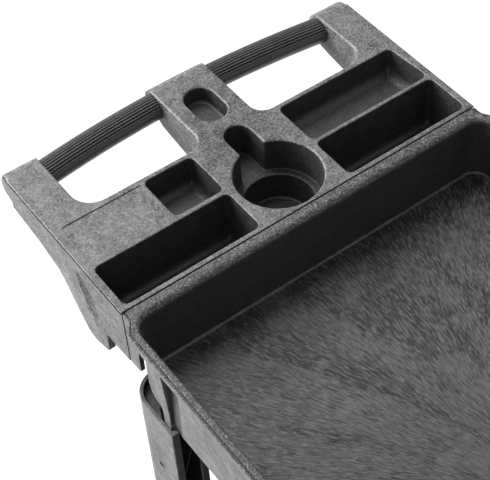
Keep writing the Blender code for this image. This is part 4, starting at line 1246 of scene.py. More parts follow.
    def cup_cutters(self) -> list[Mesh]:
        """Return the cutters of the cup well: the wide well with its mug slot, and the bore."""
        centre, _, bore_radius = self.cup
        ledge, depth = self.cup_levels
        bore = arc((0.0, centre), bore_radius, 0.0, 360.0, 80)[:-1]
        well = pocket(self.keyhole(), ledge, self.slot_mouth, *self.well_rounds)
        return [well, shifted(pocket(bore, depth - ledge, *self.bore_rounds), z=-ledge)]

    def hand_hole(self, sign: int, grow: float = 0.0) -> Outline:
        """Return one hand hole's outline, grown by a wall on request, anticlockwise."""
        inner, outer = self.neck_half - grow, self.cheek_inside + grow
        front = self.hole_front - grow
        far = self.handle_base + 0.05
        near, away = self.hole_corners
        corners = [(inner, front, near + grow), (outer, front, away + grow), (outer, far, 0.0), (inner, far, 0.0)]
        return rounded([(sign * c[0], c[1], c[2]) for c in corners][::sign], 0.0, 14)

    def hand_hole_cutter(self, sign: int) -> Mesh:
        """Return one hand hole as a cutter whose top edge is rolled over."""
        outline = self.hand_hole(sign)
        mouth = bead(outline, self.hole_mouth, 0.0, 5, 1)
        return stack([(outline, -FAR), *mouth, (offset(outline, self.hole_mouth), OVERSHOOT)])

    def arm_ring(self, front: float, ridge: float, rear: float, proud: float) -> Outline:
        """Return the plan of the right side arm at one height: a flank, a ridge and a rounded back.

        Args:
            front: Y of its front.
            ridge: Y of its ridge.
            rear: Y of its rear.
            proud: How far the ridge stands out of the console's side.

        Returns:
            The outline, with the same number of points at every height.
        """
        inside = self.half - self.arm_width
        edge = self.half - self.arm_crease + min(proud, 0.0)
        flank = [
            (edge - 0.0012, front),
            (edge - 0.0002, front + 0.0012),
            (edge + (proud + self.arm_crease) * 0.35, front + (ridge - front) * 0.5),
            (self.half + proud, ridge),
            (self.half + proud * 0.6, ridge + (rear - ridge) * 0.7),
            (edge - 0.001, rear),
        ]
        return [(inside, front)] + smoothed(flank, 5) + [(inside, rear)]

    def arm(self, sign: int) -> Mesh:
        """Return one side arm, open to the inside."""
        sections = smoothed(self.arm_sections, 5)
        outer = [(self.arm_ring(*section[1:]), section[0]) for section in sections]
        inner = []
        for height, front, _, rear, proud in self.arm_sections[2:]:
            out = self.half + min(proud, 0.0) - self.shell
            inside = self.half - self.arm_width - OVERSHOOT
            near, back = front + self.shell, rear - 2 * self.shell
            inner.append(([(inside, near), (out, near), (out, back), (inside, back)], height + self.shell))
        return mirrored(cut(stack(outer), stack(inner)), sign)

    def dent(self) -> Mesh:
        """Return the long shallow hollow in the right side, before the arm's ridge."""
        along, across, bulge, depth = self.dent_size
        lens = turned([(math.sin(a), math.cos(a)) for a in [math.pi * i / 24 for i in range(25)]], 48)
        lens.transform(Matrix.Diagonal((bulge, across, along, 1.0)))
        y, z, lean = self.dent_place
        shift = Matrix.Translation((self.half + bulge - depth, y, z))
        lens.transform(shift @ Matrix.Rotation(math.radians(lean), 4, "X"))
        return lens

    def cheek_nose(self, sign: int) -> Mesh:
        """Return the rolled rear edge of one cheek, which runs straight to a rounded end."""
        start, end = self.cheek_inside - OVERLAP, self.half - self.gap
        profile: Outline = [(0.0, start), (self.nose_radius, start)]
        profile += arc((self.nose_radius - self.nose_end, end - self.nose_end), self.nose_end, 0.0, 90.0, 7)
        profile.append((0.0, end))
        line = self.bow(self.cheek_inside, self.handle_base)
        nose = turned(profile, 48)
        nose.transform(Matrix.Translation((0.0, line, -self.line_drop)) @ Matrix.Rotation(math.pi / 2, 4, "Y"))
        chin = [
            (line - 0.006, -0.0366),
            (line - 0.001, -0.0366, 0.004),
            (line + self.nose_radius * 0.5, -self.line_drop - self.nose_radius * 0.866),
            (line, -self.line_drop),
            (line - 0.006, -self.line_drop),
        ]
        wedge = on_side(prism(rounded(chin, 0.0, 5), start, end - self.nose_end / 4))
        return mirrored(join(nose, wedge), sign)

    def walls(self) -> list[Mesh]:
        """Return the pockets grown by their wall, which stay when the console is hollowed."""
        wall = self.pocket_wall
        low_top = -self.shell / 2
        centre, radius, bore = self.cup
        ledge, depth = self.cup_levels
        grown = []
        for corners, bin_depth, _ in self.bin_plans():
            grown.append(prism(self.bin_ring(corners, -wall), -bin_depth - wall, low_top))
        near = min(radius + wall, centre - self.gap - 0.001)
        grown.append(prism(arc((0.0, centre), near, 0.0, 360.0, 48)[:-1], -ledge - wall, low_top))
        grown.append(prism(arc((0.0, centre), bore + wall, 0.0, 360.0, 48)[:-1], -depth - wall, -ledge))
        half_length = (self.slot_end - centre) / 2 + self.slot_half / 2 + wall
        slot = self.capsule(self.slot_end + wall - half_length, half_length, self.slot_half + wall)
        grown.append(prism(slot, -ledge - wall + 0.0002, low_top))
        middle, half_length, half_width, oval_depth = self.oval
        oval = self.capsule(middle, half_length + wall, half_width + wall)
        grown.append(prism(oval, -oval_depth - wall, low_top))
        return grown

    def label_cutter(self) -> Mesh:
        """Return the cutter of the shallow label recess."""
        side = -self.half + self.bin_setback + 0.001
        near, back = self.rear_bin[0] + 0.003, self.rear_bin[1] - 0.001
        corners = [(side, near), (-self.label_edge, near), (-self.label_edge, back), (side + 0.0015, back)]
        return pocket(rounded(corners, 0.003, 6), self.label_depth, 0.0003, 0.0002)

    def mesh(self) -> Mesh:
        """Return the whole console."""
        walls = self.walls()
        body = join(self.outer(), *walls)
        low = -FAR - OVERSHOOT
        hollow = prism(self.plan(self.shell), -FAR, -self.shell)
        hollow = cut(hollow, *[prism(self.hand_hole(hand.value, self.shell), low, OVERSHOOT) for hand in Hand])
        body = cut(body, cut(hollow, *walls))
        for hand in Hand:
            body = join(body, self.cheek_nose(hand.value), self.arm(hand.value))
            body = cut(body, mirrored(self.dent(), hand.value))
        neck = self.neck_half + OVERLAP
        body = join(body, self.bar(self.handle_base, self.nose_radius, -neck, neck))
        body = cut(body, *[self.hand_hole_cutter(hand.value) for hand in Hand])
        base = self.handle_base - self.grip_setback
        reach = self.half - self.core_setback
        body = cut(body, self.bar(base, self.core_radius + self.gap, -reach, reach, 16))
        body = cut(body, *[self.bin_cutter(*plan) for plan in self.bin_plans()])
        body = cut(body, *self.cup_cutters())
        middle, half_length, half_width, depth = self.oval
        oval = self.capsule(middle, half_length - 0.001, half_width - 0.001)
        body = cut(body, pocket(oval, depth, *self.oval_rounds), self.label_cutter())
        setback, length, top, thickness = self.hook
        reach = self.half - setback
        return join(body, box((-reach, -length, -top - thickness), (reach, self.shell, -top)))

    def in_pocket(self, at: Vector) -> bool:
        """Tell whether a point in the console's frame lies inside a bin or the cup well."""
        inside, outside = self.bin_inside - NEAR, self.half - self.bin_setback + NEAR
        bins = self.front_bin[0] - NEAR < at.y < self.rear_bin[1] + NEAR and inside < abs(at.x) < outside
        cup = (at.x ** 2 + (at.y - self.cup[0]) ** 2) < (self.cup[1] + NEAR) ** 2
        slot = abs(at.x) < self.slot_half + NEAR and self.cup[0] < at.y < self.slot_end + NEAR
        middle, half_length, half_width, _ = self.oval
        oval = abs(at.x) < half_width and abs(at.y - middle) < half_length
        return at.z < -0.0021 and (bins or cup or slot or oval)

    def zone(self, at: Vector, normal: Vector) -> int:
        """Tell which finish a face takes: 0 outside, 1 pocket, darkened with painted shade, 2 rolled edge or proud
        ridge, lightened with a painted highlight, 3 groove or seam, darkened with painted shade.
        """
        top, low, depth = self.lip_groove
        outer = abs(at.x) > self.half - depth - 0.0002 or at.y < self.seam + depth + 0.0002
        seam = at.y < self.seam + self.edge and -low < at.z < -self.edge / 4
        # Bins, cup well and oval pocket take the pocket finish, darkened with painted shade.
        if self.in_pocket(at):
            return 1
        # The groove under the top's edge and the seam take the darkest finish: painted shade.
        if seam or (outer and -low - 0.0001 < at.z < -top + 0.0001):
            return 3
        # Faces that stand proud of the side, the arms' ridges, take the lighter edge finish: a painted highlight.
        if abs(at.x) > self.half + 0.0006:
            return 2
        return 2 if ROLLED[0] < normal.z < ROLLED[1] and at.z > -self.slot_mouth else 0

    def build(self, seam_top: Vector, finishes: Sequence[Material]) -> bpy.types.Object:
        """Build and dress the console.

        Args:
            seam_top: The rim's top in the middle of the seam.
            finishes: Finish of its outside, of its pockets, smoother and darkened with painted shade, of its edges,
            lightened with a painted highlight, and of its grooves, darkened with painted shade.

        Returns:
            The piece.
        """
        item = self.place(self.mesh(), "console_moulding", seam_top)
        self.dress(item, finishes, lambda centre, normal: self.zone(centre - seam_top, normal))
        self.settle(item, "handle_console")
        return item


@dataclass
class Grip(HandleConsole):
    """One grip: plain below, with fine rounded ribs lengthwise over the top.

    Attributes:
        radius: Radius over the ribs.
        ribs: Number of ribs.
        rib_height: Height of a rib.
        rib_arc: Where the ribs begin and end, in degrees from the rear over the top.
        ease: Radius of its ends' edges.
        sink: How far its line lies under the nose's.
    """

    radius: float = 0.0147
    ribs: int = 11
    rib_height: float = 0.0019
    rib_arc: Point = (22.0, 158.0)
    ease: float = 0.0006
    sink: float = 0.0002

    def section(self, shrink: float = 0.0) -> Outline:
        """Return the grip's outline in Y and Z, drawn in by shrink."""
        first, last = self.rib_arc
        pitch = (last - first) / self.ribs
        outer = self.radius - shrink
        points: Outline = []
        steps = 12
        for i in range(self.ribs):
            for j in range(steps):
                share = j / steps
                wave = abs(math.sin(math.pi * share)) ** 0.7
                angle = math.radians(first + pitch * (i + share))
                reach = outer - self.rib_height * (1 - wave)
                points.append((reach * math.cos(angle), reach * math.sin(angle)))
        below = 40
        for j in range(below):
            angle = math.radians(last + (360.0 - last + first) * j / below)
            ramp = min(1.0, min(j, below - j) / 3)
            reach = outer - self.rib_height * (1 - ramp)
            points.append((reach * math.cos(angle), reach * math.sin(angle)))
        return points

    def grip_mesh(self, sign: int) -> Mesh:
        """Return one grip with its ends slightly rounded."""
        start, end = self.neck_half + self.gap, self.cheek_inside - self.gap
        base = self.handle_base - self.grip_setback
        ease = self.ease
        places = [(start, ease), (start + ease * 0.3, ease * 0.3), (start + ease, 0.0)]
        stations = 30
        places += [(start + ease + (end - start - 2 * ease) * i / stations, 0.0) for i in range(1, stations + 1)]
        places += [(end - ease * 0.3, ease * 0.3), (end, ease)]
        sections = [(x, self.section(shrink)) for x, shrink in places]
        return mirrored(self.along(sections, base, self.line_drop + self.sink), sign)

    def build_grips(self, seam_top: Vector, rubber: Material) -> None:
        """Build and dress both grips.

        Args:
            seam_top: The rim's top in the middle of the seam.
            rubber: Their finish.
        """
        for hand in Hand:
            name = "grip_" + hand.name.lower()
            item = self.place(self.grip_mesh(hand.value), name + "_ribbed", seam_top, 70.0)
            self.dress(item, [rubber])
            self.settle(item, name)


@dataclass
class Tub(Moulding):
    """A dished tray with a grooved rim, drafted walls and a ribbed underside.

    Attributes:
        depth: Height of its outer wall.
        inside: Depth of its floor under the rim.
        floor: Thickness of the floor.
        rim_band: Width of the rim along the sides.
        end_band: Width of the rim at the ends.
        inner_corner: Radius of the well's corners at the rim.
        foot_corner: Radius of the well's corners at the floor.
        outer_corner: Radius of the rim's outer corners.
        draft: How far a wall leans in on the way down.
        skirt_wall: Thickness at the foot of the outer wall.
        lip: How far the outer lip lies under the rim's top, and its radius.
        groove: Outer edge, inner edge and depth of the rim's groove.
        rim_rounds: Radius of the outer wall's foot, of the lip's inner edge, and of the edges inside the groove
            and at the seam.
        rim_look: How far down the rim's finish goes.
        mouth: Width at the sides, width at the ends and height of the rolled inner edge.
        foot: Radius between wall and floor.
        flare: How far the rim draws in at the console, and where that starts and ends.
        rib: Thickness and depth of the ribs across, and how much shallower the ribs along are.
        cross_ribs: Number of ribs across.
        long_ribs: Number of ribs along.
    """

    depth: float = 0.0915
    inside: float = 0.073
    floor: float = 0.005
    rim_band: float = 0.0105
    end_band: float = 0.014
    inner_corner: float = 0.020
    foot_corner: float = 0.023
    outer_corner: float = 0.026
    draft: float = 0.0045
    skirt_wall: float = 0.010
    lip: Point = (0.0012, 0.0008)
    groove: Sizes = (0.0016, 0.0032, 0.0026)
    rim_rounds: Sizes = (0.001, 0.0005, 0.0009)
    rim_look: float = 0.0035
    mouth: Sizes = (0.0024, 0.0070, 0.0062)
    foot: float = 0.0026
    flare: Sizes = (0.0, 0.008, 0.027)
    rib: Sizes = (0.004, 0.009, 0.0015)
    cross_ribs: int = 4
    long_ribs: int = 2

    def rim_outline(self, grow: float = 0.0) -> Outline:
        """Return the rim's outline grown by grow; a flared end narrows to the console."""
        half = self.half_width + grow
        front = -self.length - grow
        corner = self.outer_corner + grow
        reach, start, end = self.flare
        if not reach:
            return rounded([(-half, front), (half, front), (half, grow), (-half, grow)], corner, 10)
        points = 16
        side = [(half - reach, 0.012)]
        for i in range(points + 1):
            share = i / points
            narrow = reach * (1 - share**2 * (3 - 2 * share))
            side.append((half - narrow, -start - (end - start) * share))
        right = [(half, front, corner)] + [(x, y, 0.0) for x, y in reversed(side)]
        left = [(-x, y, 0.0) for x, y in side] + [(-half, front, corner)]
        return rounded(right + left, 0.0, 10)

    def rim_body(self) -> Mesh:
        """Return the outer form, with its lip and groove."""
        outer, inner, deep = self.groove
        drop, ease = self.lip
        heel, fine, ridge = self.rim_rounds
        rings: list[Ring] = [(self.rim_outline(-self.draft - inset), -self.depth + rise)
                             for inset, rise in reversed(roll(heel, 3))]
        rings += [(self.rim_outline(-inset), -drop - low) for inset, low in roll(ease, 4)]
        rings += [(self.rim_outline(-outer + inset), -drop - low) for inset, low in reversed(roll(fine, 2))]
        rings += [(self.rim_outline(-outer), -deep), (self.rim_outline(-inner), -deep)]
        rings += [(self.rim_outline(-inner - inset), -low) for inset, low in roll(ridge, 4)]
        return stack(rings)

    def well_outline(self, grow_side: float, grow_end: float, corner: float) -> Outline:
        """Return the outline of the inside, grown outwards at the sides and the ends."""
        half = self.half_width - self.rim_band + grow_side
        rear = -self.end_band + grow_end
        front = -self.length + self.end_band - grow_end
        corners = [(-half, front), (half, front), (half, rear), (-half, rear)]
        return rounded(corners, corner + (grow_side + grow_end) / 2, 12)

    def well_ring(self, height: float, side: float = 0.0, end: float = 0.0) -> Ring:
        """Return one ring of the drafted wall, grown outwards at the sides and the ends."""
        share = -height / self.inside
        corner = self.inner_corner + (self.foot_corner - self.inner_corner) * share
        lean = self.draft * share
        return self.well_outline(side - lean, end - lean, corner), height

    def well_cutter(self) -> Mesh:
        """Return the cutter of the inside, with a rolled mouth and a rounded foot."""
        side, end, height = self.mouth
        foot = reversed(roll(self.foot, 4))
        rings = [self.well_ring(rise - self.inside, -inset, -inset) for inset, rise in foot]
        rings += [self.well_ring(-height * drop, side * inset, end * inset) for inset, drop in roll(1.0, 6)]
        return stack(rings + [(self.well_outline(side, end, self.inner_corner), OVERSHOOT)])

    def underside_outline(self, corner: float) -> Outline:
        """Return the outline of the hollow below the floor."""
        grow = self.rim_band - self.skirt_wall - self.draft
        return self.well_outline(grow, grow, corner)

    def ribs(self, low_face: float) -> list[Mesh]:
        """Return the ribs below the floor, which run into the skirt."""
        thickness, depth, step = self.rib
        half = self.half_width - self.skirt_wall - 0.006
        front, rear = -self.length + self.end_band + 0.002, -self.end_band - 0.002
        thick = thickness / 2
        ribs = []
        for i in range(self.cross_ribs):
            y = rear + (front - rear) * (i + 1) / (self.cross_ribs + 1)
            ribs.append(box((-half, y - thick, low_face - depth), (half, y + thick, low_face + OVERLAP)))
        for i in range(self.long_ribs):
            x = half * (2 * (i + 1) / (self.long_ribs + 1) - 1)
            low = low_face - depth + step
            ribs.append(box((x - thick, front, low), (x + thick, rear, low_face + 0.0015)))
        return ribs

    def zone(self, at: Vector, normal: Vector) -> int:
        """Tell which finish a face takes: 0 outside, 1 rim, 2 inner wall, darkened with painted shade, 3 floor, 4
        rolled edge, lightened with a painted highlight.

        Args:
            at: The face's centre, with the rim at height 0 and the seam at y = 0.
            normal: Its normal.

        Returns:
            The finish's place in the list.
        """
        well_x = abs(at.x) < self.half_width - self.rim_band + NEAR / 2
        well_y = -self.length + self.end_band - NEAR / 2 < at.y < -self.end_band + NEAR / 2
        if at.z > -self.rim_look:
            # The rolled inner edge along the sides takes the lighter edge finish: a painted highlight.
            side = self.half_width - abs(at.x) < self.groove[1] + NEAR and at.y > -self.end_band
            return 4 if side and ROLLED[0] < normal.z < ROLLED[1] else 1
        # The well's rounded foot takes the lighter outside finish: a painted highlight line along the foot of the
        # walls.
        if -self.inside + 0.0001 < at.z < -self.inside + self.foot and well_x and well_y and normal.z > 0:
            return 0
        # Inner walls take the wall finish, darkened with painted shade.
        if at.z > -self.inside - NEAR and well_x and well_y and normal.z > -0.5:
            return 3 if at.z < -self.inside + self.foot * 1.05 else 2
        return 0


@dataclass
class UpperTray(Tub):
    """The tray that the console hooks under, with posts and scoops at its corners.

    Attributes:
        rim_height: Height of the rim where the wall under it is set back.
        relief_short: How far before a leg's front edge that ends.
        corner_wall: Thickness of the wall that is left there.
        scoop: Length, depth, lean and top of the hollow beside a post.
        scoop_round: Radius of its upper edge.
        scoop_shade: How far out of its deepest point a scoop keeps the inner walls' painted shade.
        post: How far in from the end a post begins and ends, and its tongue's rear.
        filler_top: How far under a leg's top the filler inside it lies.
        filler_depth: Its depth.
        filler_length: Its reach at three places across the leg.
        plug_clear: How far a plug stays off the leg's rear wall.
        skirt_reach: Length of the plate that meets the console's side.
    """

    flare: Sizes = (0.0093, 0.008, 0.027)
    rim_height: float = 0.012
    relief_short: float = 0.012
    corner_wall: float = 0.003
    scoop: Sizes = (0.034, 0.0087, 0.0018, 0.0085)
    scoop_round: float = 0.005
    scoop_shade: float = 0.0034
    post: Sizes = (0.0425, 0.0730, 0.0615)
    filler_top: float = 0.008
    filler_depth: float = 0.020
    filler_length: Sizes = (0.032, 0.036, 0.047)
    plug_clear: float = 0.010
    skirt_reach: float = 0.018

    def end_relief(self) -> Mesh:
        """Return the cutter that sets the end wall and corners back under the rim."""
        low = -self.depth - OVERSHOOT
        reach = self.leg_front - self.relief_short
        block = box((-FAR, -reach, low), (FAR, OVERSHOOT, -self.rim_height))
        wall = self.corner_wall
        kept = stack([self.well_ring(low - OVERSHOOT, wall, wall), self.well_ring(OVERSHOOT, wall, wall)])
        return cut(block, kept)

    def scoop_cutter(self) -> Mesh:
        """Return the cutter of the hollow beside a corner post, rear right corner."""
        length, deep, lean, drop = self.scoop
        start = -self.post[1]
        floor = self.half_width - deep
        outside = self.half_width + OVERSHOOT
        low = -self.depth - OVERSHOOT
        levels = [(low, 0.0)] + [(-drop - under, inset) for inset, under in roll(self.scoop_round, 4)]
        steps = 16
        rings: list[Ring] = []
        for height, inset in levels:
            face = floor + inset + lean * (height + drop) / (low + drop)
            reach = self.half_width - floor + OVERLAP - inset
            curve = [(face + reach * (i / steps) ** 2, start - length * i / steps) for i in range(steps + 1)]
            outline = [(outside, start), *curve, (outside, curve[-1][1])]
            rings.append((outline[::-1], height))
        return stack(rings)

    def post_profile(self) -> Outline:
        """Return the outline in Y and Z of a corner post and the tongue below it."""
        low = -self.depth - self.tongue_reach
        rear, front, tongue = self.post
        top = -self.rim_height + 2 * OVERLAP
        return rounded([
            (-rear, top), (-rear, -0.054, 0.010), (-rear - 0.003, -0.066, 0.004), (-rear - 0.009, -0.072, 0.004),
            (-tongue + 0.0020, -0.0745, 0.002), (-tongue, -0.080, 0.002), (-tongue, low), (-front, low),
            (-front, top),
        ], 0.0, 3)

    def post_mesh(self, inner: float, out: float) -> Mesh:
        """Return the post and tongue with the edges of their outer face rounded."""
        outline = self.post_profile()
        area = sum(a[0] * b[1] - b[0] * a[1] for a, b in zip(outline, outline[1:] + outline[:1]))
        if area < 0:
            outline = outline[::-1]
        rings: list[Ring] = [(outline, inner)]
        rings += [(offset(outline, -inset), out - drop) for inset, drop in roll(0.0012, 4)]
        return on_side(stack(rings))

    def socket(self) -> Mesh:
        """Return the post, tongue, plug and filler that carry the rear right leg's top."""
        out = self.leg_out - self.leg_wall - self.gap
        floor = -self.inside - 2 * OVERLAP
        plug_in = self.leg_in + self.leg_wall + self.gap
        plug_out = plug_in + self.plug_thickness
        rear = -self.leg_inset - self.leg_wall - self.gap
        seat = -self.depth - self.leg_drop + self.gap
        post = self.post_mesh(plug_out - OVERLAP, out)
        back = rear - self.plug_clear
        plug = box((plug_in, -self.plug_front, -self.depth - self.plug_reach), (plug_out, back, floor))
        block = box((self.leg_in - 0.003, -self.plug_front, seat), (plug_out - 2 * OVERLAP, back, floor))
        inside = plug_in + OVERLAP
        near, middle, far = [rear - length for length in self.filler_length]
        corner = self.leg_corner - self.leg_wall - self.gap
        fill = [(inside, near), (out - 0.0075, near), (out - 0.0055, middle), (out, far), (out, rear, corner)]
        top = -self.depth - self.leg_drop - self.filler_top
        outline = rounded(fill + [(inside, rear)], 0.0, 14)
        rings: list[Ring] = [(outline, top - self.filler_depth)]
        rings += [(offset(outline, -inset), top - drop) for inset, drop in roll(0.0006, 3)]
        return join(block, plug, post, stack(rings))

    def skirt_plate(self) -> Mesh:
        """Return the fascia under the rear right rim corner, which the console's side meets."""
        top = -self.groove[2] - 0.002
        drop, slope = self.fascia
        reach = self.skirt_reach
        corners = [(-reach, top), (-reach, -drop + slope * reach, 0.003), (0.0, -drop), (0.0, top)]
        outline = rounded(corners, 0.0, 5)
        out = self.half_width - self.console_setback - 2 * self.gap
        return on_side(prism(outline, out - self.shell, out))

    def mesh(self) -> Mesh:
        """Return the whole tray."""
        body = cut(self.rim_body(), self.seam_block())
        relief = self.end_relief()
        body = cut(body, relief, shifted(mirrored(relief, 1, -1), y=-self.length))
        body = cut(body, *self.at_corners(self.scoop_cutter()))
        low = -self.inside - self.floor
        body = cut(body, prism(self.underside_outline(self.foot_corner), -self.depth - OVERSHOOT, low))
        body = join(body, *self.ribs(low))
        body = join(body, *self.at_corners(self.socket()))
        plate = self.skirt_plate()
        body = join(body, plate, mirrored(plate, -1))
        return cut(body, self.well_cutter())

    def zone(self, at: Vector, normal: Vector) -> int:
        """Tell which finish a face takes; the rim's edge at the seam and the scoops take the inner walls' painted
        shade.
        """
        at_seam = at.z > -self.rim_look and at.y > -self.groove[1] and normal.y > ROLLED[0]
        return 2 if at_seam or self.in_scoop(at) else super().zone(at, normal)

    def in_scoop(self, at: Vector) -> bool:
        """Tell whether a face lies in the deep part of a scoop."""
        length, deep, _, drop = self.scoop
        inset = -at.y if at.y > -self.length / 2 else self.length + at.y
        side = self.half_width - deep - NEAR < abs(at.x) < self.half_width - deep + self.scoop_shade
        beside = self.post[1] - 0.0001 < inset < self.post[1] + length
        return side and beside and -self.depth < at.z < -drop + NEAR / 2

    def seam_block(self) -> Mesh:
        """Return the cutter that ends the tray at the seam, with a rolled upper edge."""
        def half_plane(near: float) -> Outline:
            """Return all that lies behind a line across the cart."""
            return [(-FAR, near), (FAR, near), (FAR, FAR), (-FAR, FAR)]

        ease = self.rim_rounds[2]
        rings: list[Ring] = [(half_plane(0.0), -FAR)]
        rings += [(half_plane(-inset), -drop) for inset, drop in roll(ease, 4)]
        return stack(rings + [(half_plane(-ease), OVERSHOOT)])

    def build(self, seam_top: Vector, finishes: Sequence[Material]) -> None:
        """Build and dress the upper tray.

        Args:
            seam_top: The rim's top in the middle of the seam.
            finishes: Finish of the outside, the rim, the inner walls, darkened with painted shade, the floor and
                the rolled edges, lightened with a painted highlight.
        """
        item = self.place(self.mesh(), "upper_tray_moulding", seam_top)
        self.dress(item, finishes, lambda centre, normal: self.zone(centre - seam_top, normal))
        self.settle(item, "top_shelf")


@dataclass
class LowerTray(Tub):
    """The lower tray, with a pad and a plug for each leg and pads for the casters.

    Attributes:
        caster_x: X of the casters.
        caster_inset: How far the casters stand in from the tray's ends.
        pad: Half width and half length of a caster's pad.
    """

    depth: float = 0.085
    inside: float = 0.060
    foot_corner: float = 0.020
    caster_x: float = 0.160
    caster_inset: float = 0.078
    pad: Point = (0.037, 0.050)

    def corner_block(self) -> Mesh:
        """Return the pad that stands in the rear right corner under a leg."""
        inside = self.leg_in - 0.006
        front = -self.leg_front - 0.008
        corners = [(inside, 0.0, 0.0), (inside, front, 0.008), (FAR, front, 0.0), (FAR, 0.0, 0.0)]
        return prism(rounded(corners, 0.0, 8), -self.depth - OVERSHOOT, OVERSHOOT * 2)

    def socket(self) -> Mesh:
        """Return the plug that stands up inside the rear right leg's foot."""
        plug_in = self.leg_in + self.leg_wall + self.gap
        out = self.leg_out - self.leg_wall - self.gap
        front = -self.plug_front
        rear = -self.leg_inset - self.leg_wall - 0.012
        plug_out = plug_in + self.plug_thickness
        wide = box((plug_in, front, -0.004), (plug_out, rear, self.plug_reach))
        blade = box((plug_out - OVERLAP, front, -0.004), (out, front + 0.005, self.plug_reach * 0.8))
        return join(wide, blade)

    def mesh(self) -> Mesh:
        """Return the whole tray."""
        low = -self.inside - self.floor
        hollow = prism(self.underside_outline(self.inner_corner), -self.depth - OVERSHOOT, low)
        body = join(cut(self.rim_body(), hollow), *self.ribs(low))
        half_x, half_y = self.pad
        for y in (-self.caster_inset, -self.length + self.caster_inset):
            for x in (-self.caster_x, self.caster_x):
                pad = box((x - half_x, y - half_y, -self.depth), (x + half_x, y + half_y, -self.inside - 0.002))
                body = join(body, pad)
        body = cut(body, cut(self.well_cutter(), *self.at_corners(self.corner_block())))
        return join(body, *self.at_corners(self.socket()))

    def build(self, rim: Vector, finishes: Sequence[Material]) -> None:
        """Build and dress the lower tray.

        Args:
            rim: The rim's top in the middle of the handle end.
            finishes: Finish of the outside, the rim, the inner walls, darkened with painted shade, the floor and
                the rolled edges, lightened with a painted highlight.
        """
        item = self.place(self.mesh(), "lower_tray_moulding", rim)
        self.dress(item, finishes, lambda centre, normal: self.zone(centre - rim, normal))
        self.settle(item, "bottom_shelf")


